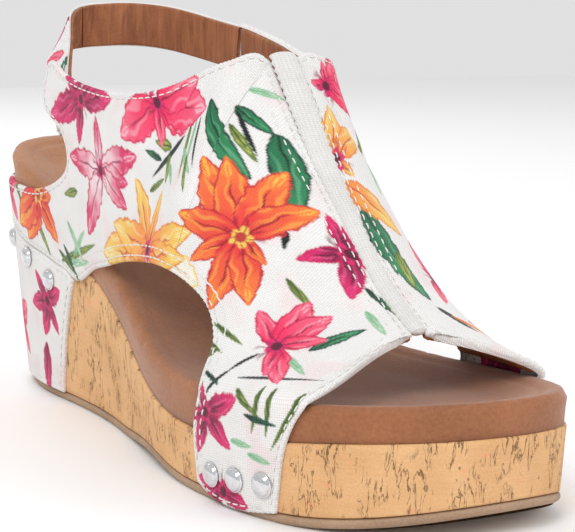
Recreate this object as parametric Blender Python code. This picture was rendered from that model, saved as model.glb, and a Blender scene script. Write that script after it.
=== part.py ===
"""Wedge sandal for the right foot, size EU 39, as an assembly of its real pieces.

Frame: +Z up, toe towards -Y, the foot's outer (lateral) side towards -X, origin on the ground under
the middle of the sandal. Sizes are in millimetres and become metres when a mesh is made.
"""

import math

import bmesh
import bpy
import numpy as np
from mathutils import Matrix, Vector
from mathutils.geometry import delaunay_2d_cdt

MM = 0.001
GAP = 0.3
# The middle of the whole sandal's box in the plan that the sizes below use; it becomes the origin.
MIDDLE = np.array((-0.2, 2.9, 0.0))
LATERAL = -1
MEDIAL = 1
SIDES = {"lateral": LATERAL, "medial": MEDIAL}

# The sole's edge in plan, from the back of the heel round the lateral side to the toe and back.
SOLE_EDGE = (
    (0, 133), (-22, 127), (-32, 106), (-32, 75), (-32, 45), (-36, 16), (-44, -19), (-47, -51),
    (-44, -82), (-33, -105), (-15, -122), (8, -129), (27, -126), (39, -112), (45, -88), (46, -60),
    (40, -25), (30, 10), (27, 40), (29, 75), (30, 103), (21, 126),
)
# Heights above the ground along the sole.
PROFILE_Y = (-129, -85, -45, -10, 25, 60, 95, 133)
CORK_TOP = (28.3, 23.1, 19.3, 24.1, 38.6, 53.2, 65.5, 76.0)
RIM_TOP = (38.4, 34.3, 32.7, 37.0, 51.0, 65.4, 78.0, 88.5)
OUTSOLE_THICKNESS = 3.0
TOE_SPRING = 7.0
TOE_SPRING_FROM = -85
WAIST_LIFT = 2.5
WAIST = (-45, 25)
SOLE_DRAFT = math.tan(math.radians(3))
HEEL_DRAFT = math.tan(math.radians(6))
HEEL_DRAFT_Y = (80, 125)

CORK_THICKNESS = 2.0
BOARD_THICKNESS = 1.8
COVER_THICKNESS = 1.4
COVER_EDGE_INSET = 0.8
FOOTBED_DIP = 4.0
FOOTBED_DIP_WIDTH = 22.0

# The collar is the ring that the throat, the quarters' tops and the heel strap follow round the ankle.
COLLAR_X = 3.0
COLLAR_Y = 52.0
COLLAR_HALF_WIDTH = 33.5
COLLAR_FRONT = 67.0
COLLAR_REAR = 60.0
COLLAR_SQUARENESS = 0.65
COLLAR_Z_Y = (-15, -5, 6, 20, 36, 50, 65, 80, 112)
COLLAR_Z = {
    LATERAL: (125.0, 118.0, 113.5, 111.5, 111.0, 112.0, 114.5, 119.0, 122.0),
    MEDIAL: (125.0, 120.5, 120.0, 122.0, 126.0, 129.0, 131.5, 132.0, 132.0),
}
# The centre seam runs from the throat down to the peep toe.
SEAM_Y = (-88, -70, -49, -36, -26, -15)
SEAM_Z = (49.0, 60.0, 81.0, 96.0, 110.0, 125.0)
SEAM_X = (5.0, 5.0, 4.5, 4.0, 3.5, 3.0)
THROAT_STATION = -30.0
FRONT_STATION = -97.0
THROAT_SETBACK = 4.0
ANKLE_STATION = 20.0

CANVAS = (0.55, 1.7)
LINING = (-1.6, -0.6)
LOOP_PATCH = (-2.5, -2.0)
PIPING_HALF_WIDTH = 1.9
PIPING_THICKNESS = 2.8
BACK_TAPE_HALF_WIDTH = 4.0
BACK_TAPE_THICKNESS = 0.9
BACK_SEAM_GAP = 0.4
LINING_FOOT = 2.5
LINING_INSET = 1.0

STRAP_WIDTH = 16.0
# The strap's route, by its travel from the throat: the angle round the collar, and the height.
STRAP_TRAVEL = (95, 118, 135, 155, 180, 200, 215, 228, 240, 252, 265)
STRAP_ANGLE = (95, 118, 135, 155, 180, 200, 214, 225, 233, 239, 244)
STRAP_MIDDLE_Z = (122.2, 125.6, 128.2, 129.8, 129.6, 127.4, 123.8, 118.0, 110.5, 102.0, 93.0)
STRAP_LEAN = (0, 0, 0, 0, 4, 20, 31, 26, 8, 0, 0)
STRAP_START = 101.0
STRAP_BEND = 222.0
STRAP_TIP = 262.0
STRAP_DRIFT = -5.4
STRAP_DRIFT_FROM = 122.0
STRAP_HINGE_GAP = 1.2
STRAP_SQUARENESS = 0.8
STRAP_CANVAS = 1.2
HOOK_THICKNESS = 0.5
HOOK_TRAVEL = (238.0, 260.5)
HOOK_WIDTH = 13.5
LOOP_Y = (79.0, 66.0)
LOOP_HEIGHT = (31.0, 43.0)
STRAP_LINING = 1.0

STUD_RADIUS = 3.7
STUD_HEIGHT = 1.9
STUD_RIM = 0.5
STUD_PIN_RADIUS = 0.8
STUD_PIN_LENGTH = 7.0
STUD_SEGMENTS = 12
# Each stud's place on its side: distance along Y and height above the ground.
STUDS = {
    "vamp": ((-62.0, 9.0), (-73.0, 10.0), (-84.0, 11.0)),
    "heel": ((115.0, 53.0), (95.0, 48.8), (77.5, 43.0)),
}

SHANK_Y = (-28.0, 62.0)
SHANK_HALF_WIDTH = 6.0
SHANK_THICKNESS = 1.2
SHANK_X = -2.0
SHANK_DEPTH = 0.2

PANEL_STEP = 7.0
EDGE_STEP = 5.0
PLAN_STEP = 10.0
EDGE_FADE = 25.0

COLOURS = {
    "canvas": ((0.81, 0.80, 0.79), 0.8, 0.0),
    "heel_canvas": ((0.79, 0.76, 0.75), 0.8, 0.0),
    "piping": ((0.84, 0.83, 0.81), 0.75, 0.0),
    "lining": ((0.30, 0.14, 0.06), 0.65, 0.0),
    "footbed": ((0.38, 0.15, 0.055), 0.6, 0.0),
    "cork": ((0.62, 0.38, 0.17), 0.85, 0.0),
    "rubber": ((0.20, 0.125, 0.075), 0.75, 0.0),
    "foam": ((0.75, 0.72, 0.62), 0.9, 0.0),
    "board": ((0.45, 0.34, 0.22), 0.9, 0.0),
    "wood": ((0.55, 0.42, 0.27), 0.8, 0.0),
    "steel": ((0.55, 0.55, 0.57), 0.35, 1.0),
    "chrome": ((0.75, 0.75, 0.77), 0.12, 1.0),
    "hook": ((0.70, 0.69, 0.67), 0.9, 0.0),
}


def clear_scene():
    for obj in list(bpy.data.objects):
        bpy.data.objects.remove(obj, do_unlink=True)


def material(name):
    found = bpy.data.materials.get(name)
    if found:
        return found
    colour, roughness, metallic = COLOURS[name]
    made = bpy.data.materials.new(name)
    made.use_nodes = True
    shader = made.node_tree.nodes["Principled BSDF"]
    shader.inputs["Base Color"].default_value = (*colour, 1.0)
    shader.inputs["Roughness"].default_value = roughness
    shader.inputs["Metallic"].default_value = metallic
    made.diffuse_color = (*colour, 1.0)
    return made


def make_object(name, points, faces, finish, origin=(0.0, 0.0, 0.0), smooth=True):
    """A closed mesh object from points in millimetres, with its faces turned outwards."""
    origin = np.asarray(origin, float)
    mesh = bpy.data.meshes.new(name)
    mesh.from_pydata([tuple(p) for p in (np.asarray(points) - origin) * MM], [], faces)
    bm = bmesh.new()
    bm.from_mesh(mesh)
    bmesh.ops.recalc_face_normals(bm, faces=bm.faces)
    if bm.calc_volume(signed=True) < 0:
        bmesh.ops.reverse_faces(bm, faces=bm.faces)
    bmesh.ops.triangulate(bm, faces=bm.faces)
    bm.to_mesh(mesh)
    bm.free()
    if smooth:
        mesh.shade_smooth()
        mesh.set_sharp_from_angle(angle=math.radians(40))
    mesh.materials.append(material(finish))
    obj = bpy.data.objects.new(name, mesh)
    obj.location = (origin - MIDDLE) * MM
    bpy.context.collection.objects.link(obj)
    return obj


# ---- curves -------------------------------------------------------------------------------------


def spline(knots, values, at):
    """A natural cubic through the knots, read at the given places and held level past both ends."""
    x = np.asarray(knots, float)
    y = np.asarray(values, float)
    gap = np.diff(x)
    slope = np.diff(y) / gap
    system = np.eye(len(x))
    right = np.zeros(len(x))
    for i in range(1, len(x) - 1):
        system[i, i - 1: i + 2] = gap[i - 1], 2 * (gap[i - 1] + gap[i]), gap[i]
        right[i] = 6 * (slope[i] - slope[i - 1])
    bend = np.linalg.solve(system, right)
    at = np.clip(np.asarray(at, float), x[0], x[-1])
    i = np.clip(np.searchsorted(x, at) - 1, 0, len(gap) - 1)
    a = at - x[i]
    b = x[i + 1] - at
    cubic = (bend[i] * b**3 + bend[i + 1] * a**3) / (6 * gap[i])
    before = (y[i] / gap[i] - bend[i] * gap[i] / 6) * b
    after = (y[i + 1] / gap[i] - bend[i + 1] * gap[i] / 6) * a
    return cubic + before + after


def closed_spline(points, count):
    """A smooth closed curve through the points, as count points evenly spaced along its length."""
    wrapped = 3
    ring = np.array(points[-wrapped:] + points + points[:wrapped + 1], float)
    knots = np.arange(len(ring)) - wrapped
    fine = np.linspace(0, len(points), 40 * count + 1)
    curve = np.stack([spline(knots, ring[:, axis], fine) for axis in (0, 1)], axis=1)
    length = np.concatenate([[0], np.cumsum(np.linalg.norm(np.diff(curve, axis=0), axis=1))])
    even = np.linspace(0, length[-1], count, endpoint=False)
    return np.stack([np.interp(even, length, curve[:, axis]) for axis in (0, 1)], axis=1)


def smooth_step(value, low, high):
    part = np.clip((np.asarray(value, float) - low) / (high - low), 0, 1)
    return part * part * (3 - 2 * part)


EDGE = closed_spline(SOLE_EDGE, 720)
EDGE_NEXT = np.roll(EDGE, -1, axis=0) - np.roll(EDGE, 1, axis=0)
EDGE_OUT = np.stack([EDGE_NEXT[:, 1], -EDGE_NEXT[:, 0]], axis=1)
EDGE_OUT /= np.linalg.norm(EDGE_OUT, axis=1)[:, None]
EDGE_SPACING = np.linalg.norm(EDGE[1] - EDGE[0])


def ground_z(y):
    y = np.asarray(y, float)
    toe = TOE_SPRING * (np.clip(TOE_SPRING_FROM - y, 0, None) / (TOE_SPRING_FROM + 129)) ** 2
    waist = np.clip((y - WAIST[0]) / (WAIST[1] - WAIST[0]), 0, 1)
    return toe + WAIST_LIFT * np.sin(math.pi * waist) ** 2


def cork_z(y):
    return spline(PROFILE_Y, CORK_TOP, y)


def rim_z(y):
    return spline(PROFILE_Y, RIM_TOP, y)


def outsole_top_z(y):
    return ground_z(y) + OUTSOLE_THICKNESS


def draft_at(y, z):
    """How far the sole's side has drawn in at a height below the rim; the heel slopes the most."""
    slope = SOLE_DRAFT + (HEEL_DRAFT - SOLE_DRAFT) * smooth_step(y, *HEEL_DRAFT_Y)
    return slope * np.clip(rim_z(y) - z, 0, None)


def edge_at(side, s):
    """Point and outward direction of the sole's edge, s along it from the back of the heel."""
    place = np.asarray(s, float) / EDGE_SPACING * (1 if side == LATERAL else -1)
    low = np.floor(place).astype(int)
    part = (place - low)[..., None]
    ring = len(EDGE)
    point = EDGE[low % ring] * (1 - part) + EDGE[(low + 1) % ring] * part
    out = EDGE_OUT[low % ring] * (1 - part) + EDGE_OUT[(low + 1) % ring] * part
    return point, out


def station(side, y):
    """How far along the sole's edge from the heel the given Y lies."""
    s = np.arange(0, 330.0, 0.5)
    edge_y = edge_at(side, s)[0][:, 1]
    last = int(np.argmin(edge_y))
    return np.interp(-np.asarray(y, float), -edge_y[: last + 1], s[: last + 1])


# ---- the surface that the upper follows -------------------------------------------------------


def squared(value, power=COLLAR_SQUARENESS):
    """Rounds an ellipse's sine or cosine out towards a rectangle."""
    return np.sign(value) * np.abs(value) ** power


def collar_angle(y):
    """The collar's angle at a given y."""
    reach = np.where(y < COLLAR_Y, COLLAR_FRONT, COLLAR_REAR)
    part = np.clip((COLLAR_Y - y) / reach, -1, 1)
    return np.arccos(np.sign(part) * np.abs(part) ** (1 / COLLAR_SQUARENESS))


def collar_point(side, angle):
    """The collar, angle in radians from the throat (0) by the side (90 degrees) to the heel (180)."""
    reach = np.where(np.cos(angle) > 0, COLLAR_FRONT, COLLAR_REAR)
    x = COLLAR_X + side * COLLAR_HALF_WIDTH * squared(np.sin(angle))
    y = COLLAR_Y - reach * squared(np.cos(angle))
    return np.stack([x, y, spline(COLLAR_Z_Y, COLLAR_Z[side], y)], axis=-1)


def top_point(side, y):
    """Where the surface ends above the edge station at y: on the collar, or on the centre seam."""
    behind = collar_angle(y)
    ankle = float(collar_angle(ANKLE_STATION))
    beside = ankle * (y - THROAT_STATION) / (ANKLE_STATION - THROAT_STATION)
    angle = np.where(y > ANKLE_STATION, behind, np.clip(beside, 0, None))
    down = np.clip((THROAT_STATION - y) / (THROAT_STATION - FRONT_STATION), 0, 1)
    seam_y = SEAM_Y[-1] + (SEAM_Y[0] - SEAM_Y[-1]) * down
    seam = np.stack([spline(SEAM_Y, SEAM_X, seam_y), seam_y, spline(SEAM_Y, SEAM_Z, seam_y)], axis=-1)
    return np.where((y < THROAT_STATION)[..., None], seam, collar_point(side, angle))


def upper_arc(side, s, part):
    """Points of the arcs that rise from the rim at s to the collar or seam; part runs from 0 to 1."""
    edge, _ = edge_at(side, s)
    y = edge[..., 1]
    low = np.concatenate([edge, rim_z(y)[..., None]], axis=-1)
    high = top_point(side, y)
    span = np.linalg.norm(high - low, axis=-1)[..., None]
    over = 1 - smooth_step(y, -62, 12)[..., None]
    arrive = over * np.array([-side, 0.0, 0.12]) + (1 - over) * np.array([-0.12 * side, 0.08, 1.0])
    arrive /= np.linalg.norm(arrive, axis=-1)[..., None]
    flat = 1 - smooth_step(y, -72, -5)[..., None]
    first = low + span * np.array([0.0, 0.0, 1.0]) * (0.34 - 0.26 * flat)
    second = high - arrive * span * (0.36 - 0.10 * flat)
    t = np.asarray(part, float)[..., None]
    return low * (1 - t) ** 3 + first * 3 * t * (1 - t) ** 2 + second * 3 * t**2 * (1 - t) + high * t**3


def arc_lengths(side, s):
    parts = np.linspace(0, 1, 33)
    points = upper_arc(side, np.asarray(s, float)[:, None], parts[None, :] * np.ones((len(s), 1)))
    steps = np.linalg.norm(np.diff(points, axis=1), axis=2)
    return parts, np.concatenate([np.zeros((len(s), 1)), np.cumsum(steps, axis=1)], axis=1)


def height_of_top(side, s):
    return arc_lengths(side, np.atleast_1d(s))[1][:, -1]


def surface(side, s, h):
    """The surface under the canvas, h being the height over the rim: below it runs down the sole's side."""
    s = np.asarray(s, float)
    h = np.asarray(h, float)
    edge, out = edge_at(side, s)
    wall_z = rim_z(edge[:, 1]) + h
    wall = np.concatenate([edge - out * draft_at(edge[:, 1], wall_z)[:, None], wall_z[:, None]], axis=1)
    parts, lengths = arc_lengths(side, s)
    t = np.array([np.interp(value, row, parts) for value, row in zip(h, lengths)])
    past = np.clip(h - lengths[:, -1], 0, None) / (lengths[:, -1] - lengths[:, -2]) * (parts[1] - parts[0])
    t = t + past
    return np.where((h <= 0)[:, None], wall, upper_arc(side, s, t))


def offset_surface(side, s, h, offset):
    """The surface moved outwards by offset along its normal."""
    step = 0.6
    along = surface(side, s + step, h) - surface(side, s - step, h)
    lift = surface(side, s, h + step) - surface(side, s, h - step)
    normal = np.cross(along, lift) * (1 if side == LATERAL else -1)
    normal /= np.linalg.norm(normal, axis=1)[:, None]
    return surface(side, s, h) + normal * offset


# ---- solids -------------------------------------------------------------------------------------


def resample(outline, step):
    """Points about one step apart along a closed outline, its corners kept."""
    made = []
    for a, b in zip(outline, outline[1:] + outline[:1]):
        count = max(1, round(math.dist(a, b) / step))
        made += [(a[0] + (b[0] - a[0]) * i / count, a[1] + (b[1] - a[1]) * i / count) for i in range(count)]
    return made


def fill(outline, step):
    """Triangles over a flat closed outline, with inner points on a grid."""
    ring = resample(outline, step)
    corners = np.array(ring)
    low = corners.min(axis=0)
    high = corners.max(axis=0)
    grid = [
        (x, y)
        for i, x in enumerate(np.arange(low[0] + step / 2, high[0], step))
        for y in np.arange(low[1] + step * (0.25 + 0.5 * (i % 2)), high[1], step)
    ]
    clear = [g for g in grid if np.min(np.hypot(*(corners - g).T)) > 0.6 * step]
    points = [Vector(p) for p in ring + clear]
    loop = list(range(len(ring)))
    done = delaunay_2d_cdt(points, [], [loop], 1, 1e-6)
    used = sorted({i for face in done[2] for i in face})
    place = {old: new for new, old in enumerate(used)}
    return np.array([tuple(done[0][i]) for i in used]), [tuple(place[i] for i in face) for face in done[2]]


def rim_edges(faces):
    seen = {}
    for face in faces:
        for a, b in zip(face, face[1:] + face[:1]):
            seen[(a, b)] = (b, a)
    return [edge for edge, back in seen.items() if back not in seen]


def two_sided(faces, count):
    """The faces of a closed shell whose second layer of points follows the first."""
    back = [tuple(i + count for i in reversed(face)) for face in faces]
    band = [(b, a, a + count, b + count) for a, b in rim_edges(faces)]
    return list(faces) + back + band


def panel(name, side, outline, layer, finish, step=PANEL_STEP):
    """A piece of sheet cut to an outline of (s, h) and laid on the surface between two offsets."""
    flat, faces = fill(outline, step)
    inner = offset_surface(side, flat[:, 0], flat[:, 1], layer[0])
    outer = offset_surface(side, flat[:, 0], flat[:, 1], layer[1])
    return make_object(name, np.concatenate([outer, inner]), two_sided(faces, len(flat)), finish)


def plan_outline(step=EDGE_STEP):
    """The sole's edge in plan, as points about one step apart."""
    return [tuple(p) for p in EDGE[::int(round(step / EDGE_SPACING))]]


def drawn_in(flat, height, extra):
    """Plan points moved inwards to the side's draft at a height plus an extra, fading out inwards."""
    nearest = np.argmin(np.hypot(flat[:, :1] - EDGE[None, :, 0], flat[:, 1:] - EDGE[None, :, 1]), axis=1)
    fade = np.clip(1 - np.hypot(*(flat - EDGE[nearest]).T) / EDGE_FADE, 0, 1)
    inset = draft_at(flat[:, 1], height(*flat.T)) + extra
    moved = flat - EDGE_OUT[nearest] * (inset * fade)[:, None]
    return np.column_stack([moved, height(*moved.T)])


def slab(name, bottom, top, extra, finish):
    """A solid of the sole's plan shape between two heights given as functions of x and y."""
    flat, faces = fill(plan_outline(), PLAN_STEP)
    layers = [drawn_in(flat, height, extra) for height in (top, bottom)]
    return make_object(name, np.concatenate(layers), two_sided(faces, len(flat)), finish)


def band_faces(rings, count):
    """Faces of a closed tube of rings, each ring of count points."""
    faces = []
    for r in range(rings):
        following = (r + 1) % rings
        for i in range(count):
            j = (i + 1) % count
            faces.append((r * count + i, r * count + j, following * count + j, following * count + i))
    return faces


def sweep(name, rails, finish, origin=(0.0, 0.0, 0.0)):
    """A closed bar through cross-sections: rails is (stations, corners, 3)."""
    stations, corners = rails.shape[:2]
    faces = [tuple(range(corners)), tuple((stations - 1) * corners + i for i in reversed(range(corners)))]
    for r in range(stations - 1):
        for i in range(corners):
            j = (i + 1) % corners
            faces.append((r * corners + i, (r + 1) * corners + i, (r + 1) * corners + j, r * corners + j))
    return make_object(name, rails.reshape(-1, 3), faces, finish, origin)


def cut(obj, cutter):
    cutter.hide_render = True
    cutter.display_type = "WIRE"
    boolean = obj.modifiers.new("cut", "BOOLEAN")
    boolean.operation = "DIFFERENCE"
    boolean.object = cutter


# ---- the sole -----------------------------------------------------------------------------------


def footbed_top_z(x, y):
    """The footbed's upper face: level with the rim at the edge and dipping under the foot."""
    nearest = np.array([np.min(np.hypot(EDGE[:, 0] - a, EDGE[:, 1] - b)) for a, b in zip(x, y)])
    return rim_z(y) - FOOTBED_DIP * smooth_step(nearest, 1.5, FOOTBED_DIP_WIDTH)


def make_outsole():
    """The outsole follows the side's foot, so it is a little narrower than the rim."""
    slab("outsole", lambda x, y: ground_z(y), lambda x, y: outsole_top_z(y), 0.0, "rubber")


def make_cork_wrap():
    """The sheet of cork round the block's side, as a closed band."""
    edge = np.array(plan_outline())
    foot = drawn_in(edge, lambda x, y: outsole_top_z(y) + GAP, 0.0)
    top = drawn_in(edge, lambda x, y: cork_z(y), 0.0)
    top_inner = drawn_in(edge, lambda x, y: cork_z(y), CORK_THICKNESS)
    foot_inner = drawn_in(edge, lambda x, y: outsole_top_z(y) + GAP, CORK_THICKNESS)
    points = np.concatenate([foot, top, top_inner, foot_inner])
    return make_object("cork_wrap", points, band_faces(4, len(edge)), "cork")


def core_top_z(y):
    return cork_z(y) - BOARD_THICKNESS - 2.5 * GAP


def core_foot_z(y):
    return outsole_top_z(y) + GAP


def make_wedge_core():
    """The block inside the cork: its sides follow the cork wrap's inner face."""
    extra = CORK_THICKNESS + 1.5 * GAP
    core = slab("wedge_core", lambda x, y: core_foot_z(y), lambda x, y: core_top_z(y), extra, "wood")
    cut(core, make_shank("shank_recess", GAP, 3.0))


def make_shank(name="shank", room=0.0, headroom=0.0):
    """The steel strip let into the core's top along the waist."""
    y = np.linspace(SHANK_Y[0] - room, SHANK_Y[1] + room, 13)
    top = core_top_z(y) - SHANK_DEPTH
    half = SHANK_HALF_WIDTH + room
    low = top - SHANK_THICKNESS - room
    high = top + headroom
    left = SHANK_X - half
    right = SHANK_X + half
    corners = [(left, low), (right, low), (right, high), (left, high)]
    rails = np.stack([np.stack([np.full(len(y), x), y, z], axis=1) for x, z in corners], axis=1)
    return sweep(name, rails, "steel")


def make_insole_board():
    slab(
        "insole_board",
        lambda x, y: cork_z(y) - BOARD_THICKNESS - GAP,
        lambda x, y: cork_z(y) - GAP,
        CORK_THICKNESS + 1.5 * GAP,
        "board",
    )


def make_footbed_cover():
    """The cover is a cap: its side and top are one skin round the foam, open underneath."""
    flat, faces = fill(plan_outline(), PLAN_STEP)
    count = len(flat)
    ring = len(resample(plan_outline(), PLAN_STEP))
    border = flat[:ring]

    def side_foot(x, y):
        return cork_z(y) + GAP

    def under_skin(x, y):
        return footbed_top_z(x, y) - COVER_THICKNESS

    points = np.concatenate([
        drawn_in(flat, footbed_top_z, COVER_EDGE_INSET),
        drawn_in(flat, under_skin, COVER_EDGE_INSET + COVER_THICKNESS),
        drawn_in(border, side_foot, COVER_EDGE_INSET),
        drawn_in(border, side_foot, COVER_EDGE_INSET + COVER_THICKNESS),
    ])
    made = list(faces) + [tuple(i + count for i in reversed(face)) for face in faces]
    for a, b in rim_edges(faces):
        made.append((b, a, a + 2 * count, b + 2 * count))
        made.append((a + count, b + count, b + 2 * count + ring, a + 2 * count + ring))
        made.append((a + 2 * count, a + 2 * count + ring, b + 2 * count + ring, b + 2 * count))
    make_object("footbed_cover", points, made, "footbed")


def make_footbed_foam():
    slab(
        "footbed_foam",
        lambda x, y: cork_z(y) + 2.5 * GAP,
        lambda x, y: footbed_top_z(x, y) - COVER_THICKNESS - 2 * GAP,
        COVER_EDGE_INSET + COVER_THICKNESS + GAP,
        "foam",
    )


# ---- the upper ----------------------------------------------------------------------------------

# Edges of the upper's pieces as (y, height over the rim).
ARCH_EDGE = (
    (-55.5, 0), (-56, 6), (-56, 12), (-53.5, 17.5), (-48.5, 23), (-42, 26.5), (-34, 28.5), (-24, 28.5),
    (-3, 22), (16, 11), (29, 2), (46, -10), (59, -19),
)
ARCH_EDGE_OVER_RIM = slice(1, 10)
BASE_REAR = ((-56, None), (-53, -28), (-52, -20), (-52.5, -8))
BASE_FRONT = ((-97, 0), (-95, -3), (-92, -9), (-90, -16), (-89, -23), (-88, None))
WRAP_LINE = ((64, -19.5), (72, -21), (82, -22.5), (95, -25), (108, -26))
WRAP_LINE_BACK = -27
WRAP_FRONT = ((60.5, -20.5), (65, -33), (69, -48), (72, None))
COUNTER_TOP = ((115, -9.5), (105, -7), (94, -4), (82, 1))
COUNTER_TOP_BACK = -11.5
QUARTER_REAR = {
    LATERAL: (
        (75.5, 5), (68, 11), (63.5, 16), (62, 20.5), (64, 25), (68.5, 27.5), (76, 28), (82, 29.5), (84, 33),
        (83, 38), (81.5, 44),
    ),
    MEDIAL: (
        (75.5, 5), (68, 11), (63.5, 16), (61.5, 21), (61.5, 27), (62.5, 33), (64, 39), (65, 45), (65, 50),
    ),
}
QUARTER_TOP_REAR = {LATERAL: 79.0, MEDIAL: 65.0}


def wall_foot(y):
    """Height over the rim of the sole side's lower end."""
    return float(outsole_top_z(y) + GAP - rim_z(y))


def edge_points(side, places):
    return [(float(station(side, y)), wall_foot(y) if h is None else h) for y, h in places]


def seam_edge(side, room):
    """The panel's edge beside the piping; near the throat the arcs meet the seam at a slant."""
    y = np.linspace(THROAT_STATION, FRONT_STATION, 14)
    s = station(side, y)
    slant = 1 + 0.8 * smooth_step(y, -65, THROAT_STATION)
    h = height_of_top(side, s) - (PIPING_HALF_WIDTH + room) * slant
    return list(zip(s, h))[::-1]


def collar_edge(side, rear, below):
    """The top edge from beside the throat back to the quarter's tab."""
    s = station(side, np.linspace(rear, THROAT_STATION + THROAT_SETBACK, 15))
    return list(zip(s, height_of_top(side, s) - below))[::-1]


def upper_outline(side):
    """The canvas of one half of the upper, from the back seam round the arch to the peep toe."""
    outline = [(BACK_SEAM_GAP, WRAP_LINE_BACK + GAP)]
    outline += [(s, h + GAP) for s, h in reversed(edge_points(side, WRAP_LINE))]
    outline += list(reversed(edge_points(side, ARCH_EDGE)))
    outline += list(reversed(edge_points(side, BASE_REAR)))
    outline += list(reversed(edge_points(side, BASE_FRONT)))
    outline += seam_edge(side, 2 * GAP)
    outline += collar_edge(side, QUARTER_TOP_REAR[side], 0.0)
    outline += list(reversed(edge_points(side, QUARTER_REAR[side])))
    outline += list(reversed(edge_points(side, COUNTER_TOP)))
    outline += [(BACK_SEAM_GAP, COUNTER_TOP_BACK)]
    return outline


def make_upper(word, side):
    outline = upper_outline(side)
    panel(f"{word}_upper", side, outline, CANVAS, "canvas")
    panel(f"{word}_lining", side, lining_outline(side), LINING, "lining")


def lining_outline(side):
    """The lining stops above the footbed's rim and just short of the canvas's edges."""
    arch = [(s, h + LINING_INSET) for s, h in edge_points(side, ARCH_EDGE[ARCH_EDGE_OVER_RIM])]
    outline = [(float(station(side, 74)), LINING_FOOT + 3.0)]
    outline += [(float(station(side, y)), LINING_FOOT) for y in (60, 34)]
    outline += list(reversed(arch))
    outline += [(float(station(side, y)), LINING_FOOT) for y in (-56.5, -78, FRONT_STATION + 1)]
    outline += seam_edge(side, 3 * GAP)
    outline += collar_edge(side, QUARTER_TOP_REAR[side] - 2, LINING_INSET)
    rear = [(y - LINING_INSET, h) for y, h in QUARTER_REAR[side][1:]]
    outline += list(reversed(edge_points(side, rear)))
    return outline


def make_heel_wrap():
    """One canvas strip round the wedge's heel, on the cork, from one side's front edge to the other's."""
    foot_y = (120, 105, 85)
    outline = list(reversed(edge_points(LATERAL, WRAP_FRONT))) + edge_points(LATERAL, WRAP_LINE)
    outline += [(0.0, WRAP_LINE_BACK)]
    medial = list(reversed(edge_points(MEDIAL, WRAP_LINE))) + edge_points(MEDIAL, WRAP_FRONT)
    outline += [(-s, h) for s, h in medial]
    outline += [(-float(station(MEDIAL, y)), wall_foot(y)) for y in reversed(foot_y)]
    outline += [(0.0, wall_foot(128))]
    outline += [(float(station(LATERAL, y)), wall_foot(y)) for y in foot_y]
    return panel("heel_wrap", LATERAL, outline, CANVAS, "heel_canvas")


def make_back_tape():
    """The narrow tape over the seam where the two halves of the upper meet behind the heel."""
    half = BACK_TAPE_HALF_WIDTH
    foot = WRAP_LINE_BACK + 1
    top = COUNTER_TOP_BACK - 0.5
    layer = (CANVAS[1] + GAP, CANVAS[1] + GAP + BACK_TAPE_THICKNESS)
    outline = [(-half, foot), (half, foot), (half, top), (-half, top)]
    return panel("back_seam_tape", LATERAL, outline, layer, "canvas")


def make_piping():
    """The padded strip along the centre seam, from the throat to the peep toe."""
    y = np.linspace(SEAM_Y[-1], SEAM_Y[0], 24)
    centre = np.stack([spline(SEAM_Y, SEAM_X, y), y, spline(SEAM_Y, SEAM_Z, y)], axis=1)
    run = np.gradient(centre, axis=0)
    run /= np.linalg.norm(run, axis=1)[:, None]
    across = np.cross(np.array([0.0, 0.0, 1.0]), run)
    across /= np.linalg.norm(across, axis=1)[:, None]
    up = np.cross(run, across)
    corners = []
    for angle in np.linspace(0, 2 * math.pi, 10, endpoint=False):
        wide = math.cos(angle) * PIPING_HALF_WIDTH
        tall = math.sin(angle) * PIPING_THICKNESS / 2 + 0.8
        corners.append(centre + across * wide + up * tall)
    return sweep("seam_piping", np.stack(corners, axis=1), "piping")


# ---- the heel strap -----------------------------------------------------------------------------


def strap_path(travel):
    """The strap's middle line, from the medial quarter round the heel and down inside the lateral one."""
    turn = np.radians(spline(STRAP_TRAVEL, STRAP_ANGLE, travel))
    drift = np.interp(travel, (STRAP_DRIFT_FROM, STRAP_TIP), (0.0, STRAP_DRIFT))
    reach = np.where(np.cos(turn) > 0, COLLAR_FRONT, COLLAR_REAR) + drift
    x = COLLAR_X + (COLLAR_HALF_WIDTH + drift) * squared(np.sin(turn), STRAP_SQUARENESS)
    y = COLLAR_Y - reach * squared(np.cos(turn), STRAP_SQUARENESS)
    return np.stack([x, y, spline(STRAP_TRAVEL, STRAP_MIDDLE_Z, travel)], axis=-1)


def strap_point(travel, lift, offset):
    """A point of the strap, lift across its width and offset outwards from its middle surface."""
    travel = np.asarray(travel, float)
    along = strap_path(travel + 1.0) - strap_path(travel - 1.0)
    out = np.stack([-along[..., 1], along[..., 0], np.zeros_like(travel)], axis=-1)
    out /= -np.linalg.norm(out, axis=-1, keepdims=True)
    up = np.cross(along, out)
    up /= -np.linalg.norm(up, axis=-1, keepdims=True)
    lean = np.radians(spline(STRAP_TRAVEL, STRAP_LEAN, travel))[..., None]
    across = up * np.cos(lean) - out * np.sin(lean)
    facing = out * np.cos(lean) + up * np.sin(lean)
    return strap_path(travel) + across * lift + facing * offset


def strap_band(name, start, stop, layer, finish, origin, width=STRAP_WIDTH):
    """A flat band along the strap's path between two travels, rounded over its two long edges."""
    travels = np.linspace(start, stop, max(3, round((stop - start) / EDGE_STEP)))
    low, high = layer
    half = width / 2
    bevel = min(0.4, (high - low) * 0.4)
    section = (
        (-half, low + bevel), (-half, high - bevel), (-half + bevel, high), (half - bevel, high),
        (half, high - bevel), (half, low + bevel), (half - bevel, low), (-half + bevel, low),
    )
    rails = np.stack([strap_point(travels, lift, offset) for lift, offset in section], axis=1)
    return sweep(name, rails, finish, origin)


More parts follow.
